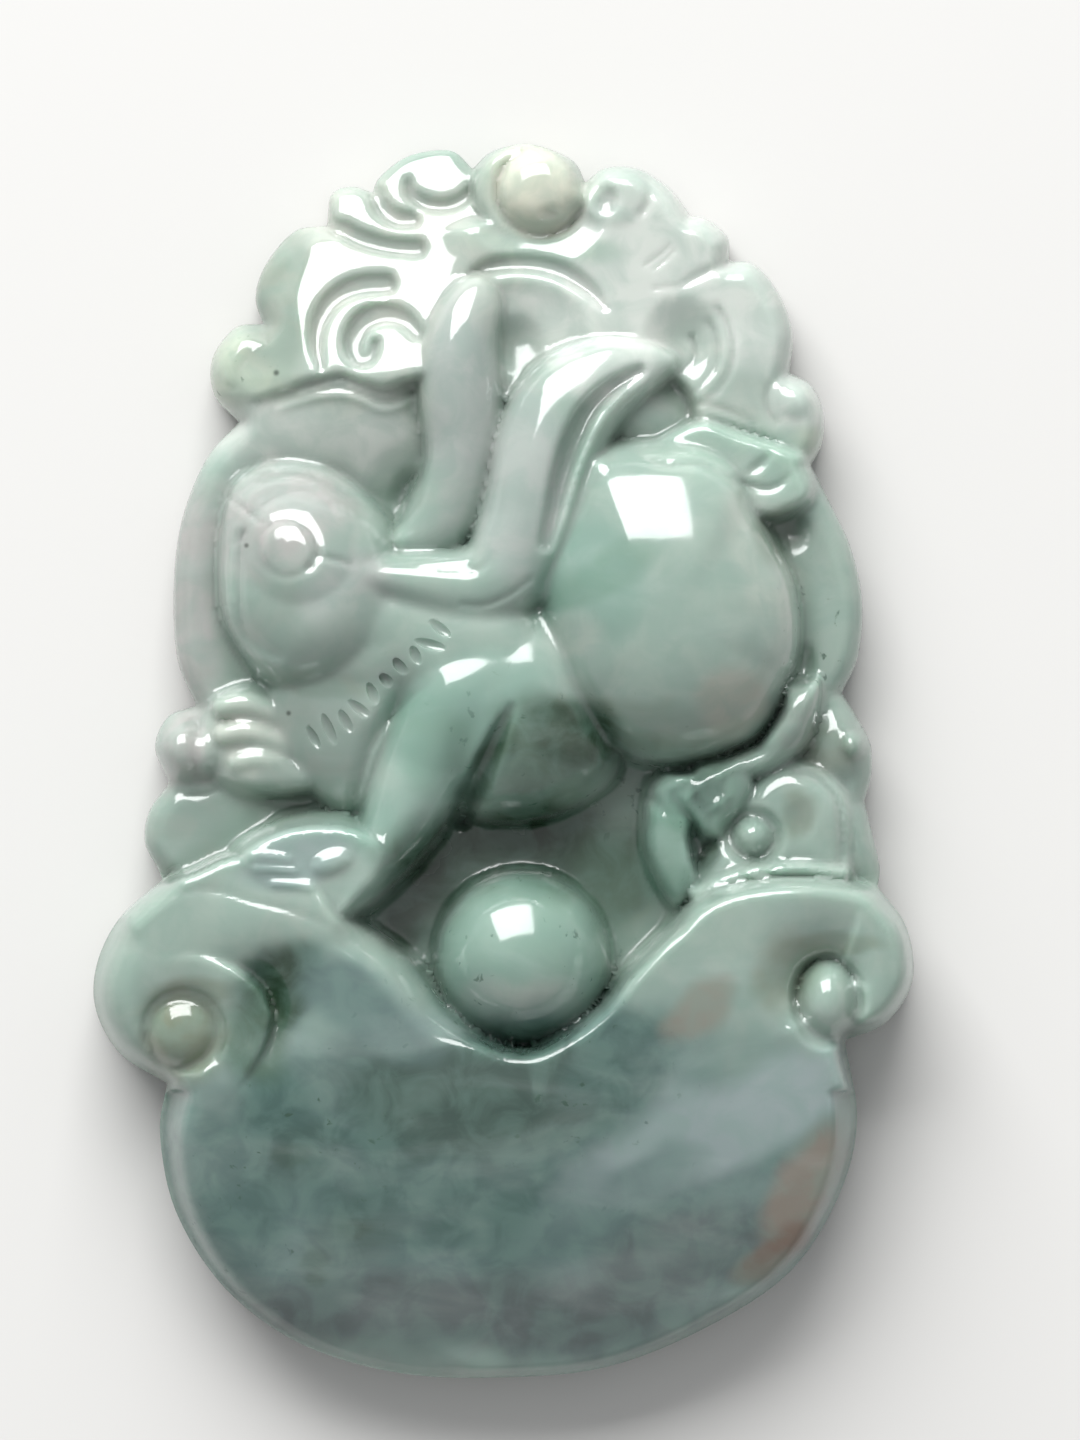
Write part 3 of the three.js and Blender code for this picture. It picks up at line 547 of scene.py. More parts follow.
# %% Hind leg and its paw
stone.dome([
    [13.82, 3.58], [14.6, 3.78], [15.28, 3.97], [15.33, 3.09], [15.09, 2.17], [14.65, 1.1], [13.77, 0.17],
    [12.79, -0.17], [12.31, 0.41], [12.79, 1.24], [13.48, 2.36]], [14, 2.1], 6.9, 5.2, 2.6, 0.6)
stone.limb([
    [14.9, 2.6, 0.5, 6], [14.2, 1.2, 0.7, 6.4], [13, 0.3, 0.75, 6.4], [11.5, -0.3, 0.75, 6.4],
    [9.8, -0.8, 0.75, 6.3]])
stone.dome([
    [7.12, -1.84], [6.9, -3.06], [6.92, -4.28], [7.32, -5.5], [7.93, -6.62], [8.44, -7.12], [8.95, -6.72],
    [9.41, -5.91], [9.21, -4.69], [9.05, -3.67], [9.21, -2.86], [8.85, -1.84]], [8.4, -3.6], 6.3, 4.6, 3)
stone.dome([
    [7.26, -1.54], [7.87, -0.67], [9.05, -0.63], [10.47, -0.26], [11.89, -0.18], [12.06, -1.13],
    [11.73, -2.05], [11.12, -2.86], [10.43, -3.67], [9.76, -3.63], [9.29, -3.06], [8.85, -2.76],
    [7.83, -2.66]], [9.9, -1.3], 6.5, 5.4, 4, 0.2)
for toe in (
    ([7.99, -1.03], [8.34, -1.95], [8.95, -2.66], [9.25, -3.37]),
    ([9.46, -0.83], [9.29, -1.74], [9.9, -2.55], [9.9, -3.37]),
    ([10.88, -0.52], [10.57, -1.34], [10.98, -2.15], [10.57, -3.06]),
):
    widths, depths = (0.2, 0.28, 0.28, 0.2), (0.06, 0.2, 0.2, 0.06)
    stone.channel([[*place, width, depth] for place, width, depth in zip(toe, widths, depths)])
print("the hind leg is carved")

# %% Small cloud at the lower right
stone.dome([
    [11.7, -1.5], [12.8, -0.3], [14, 0.1], [15.2, -0.2], [16.3, -1], [16.9, -2.4], [16.9, -4.4],
    [16.6, -5.8], [12.5, -5.8], [9.6, -6.5], [9.7, -4.6]], [13.3, -3.2], 5.9, 4.2, 4)
BEAD = [12.1, -3.65]
stone.channel([
    [14, -0.5, 0.2, 0.15], [15.3, -0.9, 0.22, 0.25], [16.2, -2, 0.22, 0.3], [16.4, -3.6, 0.22, 0.3],
    [16.3, -5.2, 0.2, 0.2]])
stone.dish([14.4, -2.8], [0.9, 1.15], 0.2)
stone.dish(BEAD, [1.55, 1.5], 0.8, power=0.7)
stone.ball(BEAD, [0.92, 0.9], 6.3, 5)
stone.limb([
    [9.4, -6.5, 0.4, 6.2], [10.8, -5.75, 0.4, 6.5], [12.5, -5.35, 0.4, 6.6], [14.5, -5.25, 0.4, 6.6],
    [16.4, -5.5, 0.4, 6.2]], 5.4, 0.4)
print("the bead is at", BEAD)

# %% [markdown]
# ## The base and the pearl
# The base is a broad bowl shape with a raised lip round its notch. It is highest at
# the lip and falls to the foot. Its ends roll in round a boss each.

# %% Base
BASE_CREST = 9.1
BASE_FALL = 0.0085  # fall towards the foot, and to both sides, per square millimetre
BASE_SIDE_FALL = 0.0045
BASE_SIDE = 4.2     # height of the side wall round the base
BEVEL = 2.6         # steepness of the band above the side wall

base_outline = np.vstack([
    lobed({"scrolls and foot": [
        *LOBES["left scroll"], *LOBES["foot"], *LOBES["right scroll"]]})[6:],
    spline([
        [18.2, -6.15], [16.4, -5.7], [14.5, -5.5], [12.5, -5.6], [10.6, -6], [9.1, -6.8], [8.1, -8],
        [7.1, -9], [5.9, -10.3], [4.8, -11.7], [3.2, -13], [1.2, -13.9], [-0.9, -13.4], [-2.6, -12],
        [-3.8, -10.4], [-4.8, -9.2], [-6, -8.3], [-7.3, -7.4],
        [-8.4, -6], [-9.6, -4.6], [-11.2, -4.3], [-12.6, -4.4], [-13.7, -4.65], [-15.1, -5.3],
        [-16.6, -5.8]])])
under_foot = np.exp(-(((stone.X + 10) / 4) ** 2 + ((stone.Y + 5) / 1.8) ** 2))
base_crest = BASE_CREST - BASE_FALL * np.clip(-8 - stone.Y, 0, None) ** 2 - BASE_SIDE_FALL * stone.X**2
base_crest -= 0.5 * under_foot
base_bevel = BASE_SIDE + BEVEL * edge_distance
in_notch = smooth((-7.5 - stone.Y) / 1.5)
upper_left = smooth((-8 - stone.X) / 2) * smooth((stone.Y + 8.5) / 2)
base_rim = 0.9 + in_notch * (1.4 * smooth((-1 - stone.X) / 3) - 0.3) - 0.55 * upper_left
base_top = np.where(stone.Y < -16, soft_min(base_crest, base_bevel, 0.2), base_crest)
base_depth = stone.slab(base_outline, base_top, 4, base_rim, 0.8)
stone.step([
    [-7.73, -8.36, 0.7, 0.02], [-9.19, -7.73, 0.7, 0.1], [-10.7, -7.19, 0.7, 0.13],
    [-12.16, -6.85, 0.7, 0.13], [-13.67, -6.41, 0.7, 0.13], [-15.33, -6.41, 0.7, 0.09],
    [-16.74, -7.14, 0.8, 0.02]])
stone.step([
    [19.57, -7.38, 0.5, 0.1], [18.74, -6.56, 0.7, 0.3], [16.55, -6.07, 0.8, 0.4], [13.92, -6.02, 0.8, 0.4],
    [11.67, -6.21, 0.8, 0.4], [10.26, -6.75, 0.8, 0.35], [9.33, -7.48, 0.6, 0.1]])
print("the base rises to", base_crest[base_depth > 0].max().round(2))

# %% Scroll ends
LEFT_BOSS = [-15.45, -13.05]
RIGHT_BOSS = [15.7, -11.6]
stone.step([
    [-12.94, -15.82, 2.4, 0.05], [-12.06, -14.7, 3, 0.35], [-11.38, -13.38, 3.6, 0.8],
    [-11.19, -12.16, 3.8, 1.3], [-11.53, -11.19, 3.8, 1.5], [-12.06, -10.55, 3.6, 1.4],
    [-12.84, -10.02, 3, 0.75], [-13.92, -9.58, 2.4, 0.3], [-15.04, -9.38, 2, 0.12],
    [-16.5, -9.48, 1.6, 0.02]])
stone.step(curl(LEFT_BOSS, 1.95, -35, 230, (2, 1.8), 0.4, 10))
stone.dish(LEFT_BOSS, [2.1, 2.1], 1.4, power=0.6)
stone.ball(LEFT_BOSS, [1.85, 1.85], 7.7, 6, 2.6)
stone.step([
    [17.8, -11.1, 2, 0.02], [17.2, -10.75, 2.3, 0.4], [16.6, -10.45, 3, 1], [16.12, -10.33, 3.7, 1.5],
    [15.71, -10.15, 4.2, 1.9], [15.21, -10.27, 4.1, 2], [14.87, -10.65, 3.8, 1.9], [14.69, -11.2, 3.5, 1.6],
    [14.75, -11.88, 3.1, 1], [15.01, -12.46, 2.5, 0.02]])
stone.dish(RIGHT_BOSS, [1.8, 2.3], 1.5, power=0.6)
stone.ball([17.5, -12.1], [1.4, 1.4], 6.6, 4.6)
stone.ball(RIGHT_BOSS, [1.58, 2.1], 8.1, 5)
print("the scroll bosses are at", LEFT_BOSS, RIGHT_BOSS)

# %% Paw on the base
stone.limb([
    [-4.25, -1.15, 2.2, 7.8], [-5.05, -3.05, 1.9, 7.8], [-5.87, -4.5, 1.5, 8], [-6.9, -5.8, 1.3, 8.2],
    [-7.8, -7.1, 0.8, 8.3]], 5, 0.5)
stone.dome([
    [-12.5, -4.46], [-11.97, -4.02], [-11.14, -3.63], [-10.26, -3.34], [-9.04, -3.19], [-7.73, -3.24],
    [-6.51, -3.63], [-5.78, -4.36], [-6.02, -5.43], [-6.75, -6.31], [-7.73, -6.95], [-9.04, -6.9],
    [-10.16, -6.56], [-11.28, -6.07], [-12.11, -5.48], [-12.55, -5]], [-9, -5], 8.2, 8.05, 20, 0.2)
stone.ball([-8.3, -4.9], [1.1, 0.6], 8.55, 8, turn=20)
print("the paw rests on the lip of the base")

# %% Pearl
PEARL = [0.9, -9.6]
PEARL_RADIUS = 4.24
stone.ball(PEARL, [PEARL_RADIUS] * 2, 8.5, 4.2, 2, blend=0.15)
print("the pearl is", 2 * PEARL_RADIUS, "across")

# %% [markdown]
# ## Polish and fine lines
# The whole face is rubbed smooth first, which rounds each edge. Fine lines are cut afterwards, so
# that they stay crisp: the brow, the mouth, the toes and the steps of the curls. The outer edge rolls over
# into the side wall last of all.

# %% Polish and fine lines
stone.polish(0.1)
for points, width, depth in (
    ([[-9.9, 17.8], [-8.9, 18.1], [-8, 18.35], [-7, 18.1], [-6, 17.75], [-5.2, 17.85], [-4.5, 18.1]],
     0.14, -0.12),
    ([[-10.9, 17.1], [-9.2, 17.6], [-8, 17.75], [-7, 17.55], [-6, 17.1], [-5.2, 17.15], [-4.5, 17.5]],
     0.2, -0.2),
    ([[-9.4, 21], [-9.3, 20], [-9.1, 19.1]], 0.14, -0.1), ([[6.9, 24.1], [7.5, 24.5], [8, 25]], 0.12, 0.12),
    ([[7.2, 23.85], [7.8, 24.3], [8.25, 24.8]], 0.12, 0.1), ([[7.3, 22.95], [8.3, 23.05]], 0.12, 0.1),
    ([[-13.5, 12.9], [-12.6, 12.3], [-11.7, 11.6]], 0.14, 0.2),
    ([[-13, 11.3], [-13.25, 9.8], [-13.3, 7.8], [-13, 6.1], [-12.2, 5.1], [-10.7, 4.55]], 0.28, -0.22),
    ([[-12.6, 11], [-12.8, 9.6], [-12.8, 7.8], [-12.5, 6.4], [-11.8, 5.6], [-10.9, 5.1]], 0.2, 0.2),
    ([[-12.65, 10.75], [-12.5, 11.15]], 0.12, 0.15), ([[-12.9, 10.5], [-12.85, 10.9]], 0.12, 0.15),
    ([[-8.9, 9.9], [-8.1, 9.75], [-7.4, 9.5]], 0.16, 0.15),
    ([[-2, 7.6], [-1, 7.55], [0.2, 8], [1.3, 8.8]], 0.14, 0.15),
):
    stone.line(points, width, depth)
for x, y in ((-11.3, -4.6), (-11, -5.2), (-10.2, -5.95)):
    stone.line([[x - 0.9, y + 0.05], [x, y], [x + 0.9, y - 0.1]], 0.2, -0.2)
for x, y, turn in ((8.5, -0.95, 35), (9.3, -1.4, 40), (10.4, -2.1, 40), (10.9, -0.4, 35), (9.7, -0.35, 30)):
    u, v = 0.55 * math.cos(math.radians(turn)), 0.55 * math.sin(math.radians(turn))
    stone.line([[x - u, y - v], [x, y], [x + u, y + v]], 0.22, -0.2)
print("the face is polished")

# %% Rolled outer edge
SIDE = 2.6          # height of the side wall under the clouds
HOLE = [1.4, 26.4]  # where the cord hole comes out of the back

low_part = smooth((-5 - stone.Y) / 1.5)
near_hole = np.exp(-(((stone.X - HOLE[0]) / 2) ** 2 + ((stone.Y - 30) / 1.5) ** 2))
wall = SIDE + (BASE_SIDE - SIDE) * low_part + 1.4 * near_hole
broad = np.exp(-(((stone.X + 11.2) / 3) ** 2 + ((stone.Y - 23) / 3.6) ** 2))
crisp = smooth((-14 - stone.Y) / 2) + smooth((stone.Y - 25.4) / 0.8) * smooth((4 - stone.X) / 1.5)
radius = 1.1 + 0.3 * broad - 0.5 * crisp
stone.z = wall + (stone.z - wall) * quarter(np.clip(edge_distance, 0, None) / radius)
print("the carved face spans", stone.z.min().round(2), "to", stone.z.max().round(2), "mm")

# %% [markdown]
# ## From heights to a mesh
# A square grid is laid over the face. Its points next to the outline are moved onto it, so the edge is
# clean, and the others slide towards steep places until the spaces between them, measured along the
# surface, are nearly even. Side wall and flat back are added after that, and the mesh is closed.

# %% Reading the sheet between its heights
def cubic_weights(t):
    """How much each of four neighbours counts at a place between the middle two."""
    return np.stack([
        -t / 2 + t**2 - t**3 / 2, 1 - 2.5 * t**2 + 1.5 * t**3, t / 2 + 2 * t**2 - 1.5 * t**3,
        -(t**2) / 2 + t**3 / 2])


def read(field, x, y):
    """The smooth value of a field of the sheet at any place."""
    u, v = (x - stone.x[0]) / RASTER, (y - stone.y[0]) / RASTER
    i = np.clip(u.astype(int), 1, len(stone.x) - 3)
    j = np.clip(v.astype(int), 1, len(stone.y) - 3)
    across, along = cubic_weights(u - i), cubic_weights(v - j)
    return sum(
        along[b] * across[a] * field[j + b - 1, i + a - 1] for a in range(4) for b in range(4))


slope_y, slope_x = np.gradient(edge_distance, RASTER)
print("the steepest place rises", np.abs(np.gradient(stone.z, RASTER)).max().round(1), "mm per mm")

# %% The grid over the face
GRID = 0.165        # spacing of the mesh points on the face
SLIVER = 0.02       # a mesh face whose middle is nearer to the outline isn't made
ONTO_RIM = 0.55     # grid points nearer to the outline than this share of the spacing move onto it
SLIDES = 24

gx, gy = np.meshgrid(*(np.arange(LOW[i] - 2 * GRID, HIGH[i] + 2 * GRID, GRID) for i in (0, 1)))
depth = read(edge_distance, gx, gy)
on_rim = np.abs(depth) < ONTO_RIM * GRID
x, y = gx[on_rim], gy[on_rim]
for _ in range(3):
    gap, u, v = (read(field, x, y) for field in (edge_distance, slope_x, slope_y))
    size = np.maximum(u**2 + v**2, 0.2)
    x, y = x - gap * u / size, y - gap * v / size
gx[on_rim], gy[on_rim] = x, y
kept = on_rim | (depth > 0)


def well_inside(faces):
    """Whether the middle of each face lies inside the outline."""
    return read(edge_distance, gx.ravel()[faces].mean(1), gy.ravel()[faces].mean(1)) > SLIVER


index = np.arange(kept.size).reshape(kept.shape)
corners = np.stack([index[:-1, :-1], index[:-1, 1:], index[1:, 1:], index[1:, :-1]], -1).reshape(-1, 4)
flags = kept.ravel()[corners]
count = flags.sum(1)
squares = corners[(count == 4) & (well_inside(corners) | (~on_rim.ravel()[corners]).any(1))]
threes = corners[count == 3][flags[count == 3]].reshape(-1, 3)
threes = threes[well_inside(threes)]
kept &= np.isin(index, np.append(squares, threes))
print("the face has", len(squares), "squares and", len(threes), "triangles")

# %% Sliding the points
inside = kept & ~on_rim
rows, cols = np.nonzero(inside)
around = [(rows, cols - 1), (rows, cols + 1), (rows - 1, cols), (rows + 1, cols)]
for _ in range(SLIDES):
    height = read(stone.z, gx, gy)
    gaps = np.array([[field[other] - field[inside] for other in around] for field in (gx, gy, height)])
    pull = (gaps**2).sum(0) + 1e-6
    for place in (gx, gy):
        middle = (pull * [place[other] for other in around]).sum(0) / pull.sum(0)
        place[inside] += 0.5 * (middle - place[inside])
print("the points have slid into place")

# %% Side wall and back
BACK_ROUND = 0.5
WALL_STEPS = 6
ROLL_STEPS = 4
BACK_GRID = 0.9     # spacing of the points on the flat back


def border_of(faces):
    """The closed loop of edges that belong to one face only, as a list of points."""
    edges = np.vstack([np.stack([f, np.roll(f, -1, axis=1)], -1).reshape(-1, 2) for f in faces])
    backwards = set(map(tuple, edges[:, ::-1].tolist()))
    following = {a: b for a, b in edges.tolist() if (a, b) not in backwards}
    loop = [next(iter(following))]
    while following[loop[-1]] != loop[0]:
        loop.append(following[loop[-1]])
    return np.array(loop)


rim = border_of([squares, threes])
face_x, face_y = gx.ravel(), gy.ravel()
rim_x, rim_y = face_x[rim], face_y[rim]
rim_z = read(stone.z, rim_x, rim_y)
in_x, in_y = read(slope_x, rim_x, rim_y), read(slope_y, rim_x, rim_y)
size = np.maximum(np.hypot(in_x, in_y), 0.3)
points = [np.stack([face_x, face_y, read(stone.z, face_x, face_y)], 1)]
rings = [rim]


def add_ring(inset, z):
    """Adds a ring of points below the rim, moved inwards."""
    rings.append(sum(map(len, points)) + np.arange(len(rim)))
    points.append(np.stack([rim_x + inset * in_x / size, rim_y + inset * in_y / size, z], 1))


for k in range(1, WALL_STEPS + 1):
    add_ring(0, rim_z + (BACK_ROUND - rim_z) * k / WALL_STEPS)
for k in range(1, ROLL_STEPS + 1):
    angle = math.pi / 2 * k / ROLL_STEPS
    add_ring(BACK_ROUND * (1 - math.cos(angle)), np.full(len(rim), BACK_ROUND * (1 - math.sin(angle))))
walls = [
    np.stack([upper, lower, np.roll(lower, -1), np.roll(upper, -1)], 1)
    for upper, lower in zip(rings, rings[1:])]

foot = points[-1][:, :2]
spots = np.stack(np.meshgrid(*(np.arange(LOW[i], HIGH[i], BACK_GRID) for i in (0, 1))), -1).reshape(-1, 2)
spots = spots[read(edge_distance, *spots.T) > BACK_ROUND + 0.5 * BACK_GRID]
loose = [Vector(p) for p in np.vstack([foot, spots]).tolist()]
ring_edges = [(i, (i + 1) % len(foot)) for i in range(len(foot))]
_, _, back_faces, origin, _, _ = geometry.delaunay_2d_cdt(
    loose, ring_edges, [list(range(len(foot)))], 1, 1e-6)
number = np.append(rings[-1], sum(map(len, points)) + np.arange(len(spots)))
back = number[[[origin[v][0] for v in f] for f in back_faces]][:, ::-1]
points.append(np.column_stack([spots, np.zeros(len(spots))]))
print("the rim has", len(rim), "points, and the back has", len(back), "triangles")

# %% One closed mesh
def placed(name, data):
    """A new object in the scene for a mesh, a light or a camera."""
    made = bpy.data.objects.new(name, data)
    bpy.context.scene.collection.objects.link(made)
    return made


def mesh_from(name, points, faces):
    """A mesh in metres from points in millimetres, without unused points."""
    used = np.unique(np.concatenate([group.ravel() for group in faces]))
    mesh = bpy.data.meshes.new(name)
    faces = [f for group in faces for f in np.searchsorted(used, group).tolist()]
    mesh.from_pydata((points[used] * MM).tolist(), [], faces)
    mesh.validate()
    return mesh


pendant = placed("carved_jade", mesh_from("carved_jade", np.vstack(points), [squares, threes, *walls, back]))
stone_material = bpy.data.materials.new("polished jade")
pendant.data.materials.append(stone_material)
turned = bmesh.new()
turned.from_mesh(pendant.data)
bmesh.ops.recalc_face_normals(turned, faces=turned.faces)
turned.to_mesh(pendant.data)
turned.free()
print("the closed mesh has", sum(len(p.vertices) - 2 for p in pendant.data.polygons), "triangles")

# %% [markdown]
# ## Cuts that follow a path
# The fur of the ruff is a row of short cuts that fan out under the cheek, each made by one touch of a
# small wheel. The cord hole is drilled in from the top edge and comes out of the back. Both are
# made by Geometry Nodes along a line of points. The number, length and spread of the cuts stay named
# inputs, which would be lost if each cut were modelled by hand.

# %% Nodes written as sums
class Wire:
    """A socket in a tree of nodes, so that maths reads as a sum."""

    def __init__(self, nodes, socket):
        self.nodes, self.socket = nodes, socket

    def math(self, operation, *others):
        return self.nodes.node("ShaderNodeMath", {"operation": operation}, dict(enumerate(others)))

    def __add__(self, other):
        return self.math("ADD", self, other)

    def __radd__(self, other):
        return self.math("ADD", other, self)

    def __sub__(self, other):
        return self.math("SUBTRACT", self, other)

    def __rsub__(self, other):
        return self.math("SUBTRACT", other, self)

    def __mul__(self, other):
        return self.math("MULTIPLY", self, other)

    def __rmul__(self, other):
        return self.math("MULTIPLY", other, self)

    def clear_of(self, low, high):
        """0 below the low value, 1 above the high one, and smooth between."""
        return self.nodes.node(
            "ShaderNodeMapRange", {"interpolation_type": "SMOOTHSTEP"},
            {"Value": self, "From Min": low, "From Max": high})


class Nodes:
    """A tree of nodes and a short way to fill it."""

    def __init__(self, tree):
        self.tree = tree

    def put(self, socket, value):
        """Links or sets one socket."""
        if isinstance(value, Wire):
            self.tree.links.new(value.socket, socket)
        else:
            socket.default_value = value

    def node(self, kind, settings=None, inputs=None, output=0):
        """Makes a node of any type; settings come first, then its sockets."""
        made = self.tree.nodes.new(kind)
        for key, value in (settings or {}).items():
            setattr(made, key, value)
        for key, value in (inputs or {}).items():
            self.put(made.inputs[key], value)
        return Wire(self, made.outputs[output])

# %% Cutters along a line
def make_plain(thing):
    """Gives an object what its modifiers make of it as its own mesh."""
    plain = bpy.data.meshes.new_from_object(thing.evaluated_get(bpy.context.evaluated_depsgraph_get()))
    thing.modifiers.clear()
    thing.data = plain


class Cutter(Nodes):
    """A Geometry Nodes tree that makes a tool along a line of points."""

    def __init__(self, name, sizes):
        super().__init__(bpy.data.node_groups.new(name, "GeometryNodeTree"))
        self.sizes = sizes
        sockets = self.tree.interface
        sockets.new_socket("Line", in_out="INPUT", socket_type="NodeSocketGeometry")
        sockets.new_socket("Tool", in_out="OUTPUT", socket_type="NodeSocketGeometry")
        for key, value in sizes.items():
            kind = "NodeSocketInt" if isinstance(value, int) else "NodeSocketFloat"
            sockets.new_socket(key, in_out="INPUT", socket_type=kind)
        self.given = self.tree.nodes.new("NodeGroupInput").outputs
        self.path = self.node("GeometryNodeMeshToCurve", None, {"Mesh": self.size("Line")})

    def size(self, name):
        """A named input of the tree."""
        return Wire(self, self.given[name])

    def end(self, shape):
        """Ends the tree with real geometry in the material of the stone."""
        real = self.node("GeometryNodeRealizeInstances", None, {"Geometry": shape})
        made = self.node("GeometryNodeSetMaterial", None, {"Geometry": real, "Material": stone_material})
        self.put(self.tree.nodes.new("NodeGroupOutput").inputs["Tool"], made)

    def run(self, line):
        """The tool as a plain mesh object, along points in millimetres."""
        mesh = bpy.data.meshes.new(self.tree.name)
        mesh.from_pydata((np.array(line) * MM).tolist(), [(i, i + 1) for i in range(len(line) - 1)], [])
        host = placed(self.tree.name, mesh)
        modifier = host.modifiers.new("tree", "NODES")
        modifier.node_group = self.tree
        for item in self.tree.interface.items_tree:
            if item.name in self.sizes:
                modifier[item.identifier] = self.sizes[item.name]
        make_plain(host)
        return host

# %% Fur cuts of the ruff
fur = Cutter("fur cuts", {
    "Count": 10, "Half length": 0.68 * MM, "Half width": 0.28 * MM, "Half depth": 0.26 * MM,
    "Unevenness": 0.4, "Seed": 5})
beads = fur.node("GeometryNodeCurveToPoints", {"mode": "COUNT"}, {
    "Curve": fur.path, "Count": fur.size("Count")})
across = Wire(fur, beads.socket.node.outputs["Tangent"])
spindle = fur.node("GeometryNodeMeshIcoSphere", None, {"Radius": 1.0, "Subdivisions": 4})
unlike = fur.size("Unevenness")
longer = fur.node("FunctionNodeRandomValue", {"data_type": "FLOAT"}, {
    2: 1 - unlike, 3: 1 + unlike, "Seed": fur.size("Seed")}, 1)
turn = fur.node("FunctionNodeRandomValue", {"data_type": "FLOAT"}, {
    2: -1 * unlike, 3: unlike, "Seed": fur.size("Seed") + 1}, 1)
size = fur.node("ShaderNodeCombineXYZ", None, {
    "X": fur.size("Half length") * longer, "Y": fur.size("Half width"), "Z": fur.size("Half depth")})
facing = fur.node("FunctionNodeAlignRotationToVector", {"axis": "Y", "pivot_axis": "Z"}, {"Vector": across})
twist = fur.node("FunctionNodeEulerToRotation", None, {
    "Euler": fur.node("ShaderNodeCombineXYZ", None, {"Z": turn})})
facing = fur.node("FunctionNodeRotateRotation", None, {"Rotation": facing, "Rotate By": twist})
fur.end(fur.node("GeometryNodeInstanceOnPoints", None, {
    "Points": beads, "Instance": spindle, "Rotation": facing, "Scale": size}))

ruff = spline([
    [-9.24, 1.1], [-7.87, 1.68], [-6.99, 2.41], [-5.97, 3.39], [-5.14, 4.22], [-4.36, 4.9], [-3.58, 5.53],
    [-3.09, 6.46]])
heights = read(stone.z, ruff[:, 0], ruff[:, 1])
cuts = fur.run(np.column_stack([ruff, heights + 0.1]))
print("the fur cuts have", len(cuts.data.polygons), "faces")

# %% Cord hole
HOLE_HEIGHT = 2.7
drill = Cutter("cord hole", {"Radius": 1.05 * MM, "Bend": 1.3 * MM})
bent = drill.node("GeometryNodeFilletCurve", {"mode": "POLY"}, {
    "Curve": drill.path, "Radius": drill.size("Bend"), "Count": 8})
ring = drill.node("GeometryNodeCurvePrimitiveCircle", None, {
    "Resolution": 32, "Radius": drill.size("Radius")})
drill.end(drill.node("GeometryNodeCurveToMesh", None, {
    "Curve": bent, "Profile Curve": ring, "Fill Caps": True}))
x, y = HOLE
tunnel = drill.run([[x, y + 6, HOLE_HEIGHT], [x, y, HOLE_HEIGHT], [x, y, -2]])
print("the drill has", len(tunnel.data.polygons), "faces")

# %% Cutting
for tool in (cuts, tunnel):
    boolean = pendant.modifiers.new(tool.name, "BOOLEAN")
    boolean.solver = "MANIFOLD"
    boolean.operation = "DIFFERENCE"
    boolean.object = tool
make_plain(pendant)
carved = pendant.data
for tool in (cuts, tunnel):
    bpy.data.objects.remove(tool)
check = bmesh.new()
check.from_mesh(carved)
open_edges = sum(len(e.link_faces) != 2 for e in check.edges)
print("open edges:", open_edges, "volume in mm3:", round(check.calc_volume() / MM**3))
check.free()
carved.polygons.foreach_set("use_smooth", [True] * len(carved.polygons))
carved.set_sharp_from_angle(angle=math.radians(60))
print("the mesh has", sum(len(p.vertices) - 2 for p in carved.polygons), "triangles")

# %% [markdown]
# ## Colour of the stone
# Jade isn't one green. White, lavender, emerald and teal clouds drift through this piece, and a cream
# spot shows at the boss. The colour is painted on the points of the mesh from soft patches, each
# with a place, a size and a hue. The edges of the patches are bent by a slow noise, so none of
# them reads as an ellipse. A texture on the whole object couldn't follow the forms like this.
# Dark patches also paint shade into the deep ground, the gaps and the dips, and a pale patch paints
# light into the lower half of the pearl.

# %% Slow noise for the patches
def slow_noise(x, y, size, seed):
    """Smooth random values between -1 and 1 that change over the given size."""
    random = np.random.default_rng(seed)
    total, share = np.zeros(len(x)), 1.0
    for _ in range(4):
        table = random.uniform(-1, 1, (64, 64))
        u, v = x / size + 31.5, y / size + 31.5
        i, j = np.floor(u).astype(int), np.floor(v).astype(int)
        s, t = smooth(u - i), smooth(v - j)
        corners = [table[(i + a) % 64, (j + b) % 64] for a, b in ((0, 0), (1, 0), (0, 1), (1, 1))]
        low = corners[0] * (1 - s) + corners[1] * s
        high = corners[2] * (1 - s) + corners[3] * s
        total += share * (low * (1 - t) + high * t)
        size, share = size / 2, share * 0.5
    return total / 1.6

# %% Hues and patches
HUES = {
    "white": (205, 211, 204), "mist": (186, 192, 182), "cream": (211, 212, 196), "lichen": (182, 193, 176),
    "haze": (179, 194, 181), "willow": (154, 166, 153), "lavender": (170, 170, 166), "lilac": (173, 180, 175),
    "dew": (178, 188, 178), "sage": (156, 174, 163), "mint": (158, 182, 167), "lead": (144, 157, 148),
    "olive": (124, 134, 114), "shade olive": (108, 120, 100), "jade": (134, 164, 151), "emerald": (102, 140, 120),
    "forest and shade": (34, 62, 38), "moss and shade": (80, 106, 88), "pearl": (137, 165, 151), "deep": (58, 80, 70),
    "teal": (66, 98, 92), "lake": (98, 122, 119), "sky": (156, 171, 170), "ice": (140, 158, 154),
    "slate": (82, 92, 92), "bronze": (144, 131, 118), "umber": (116, 97, 84), "rose": (165, 166, 154),
}
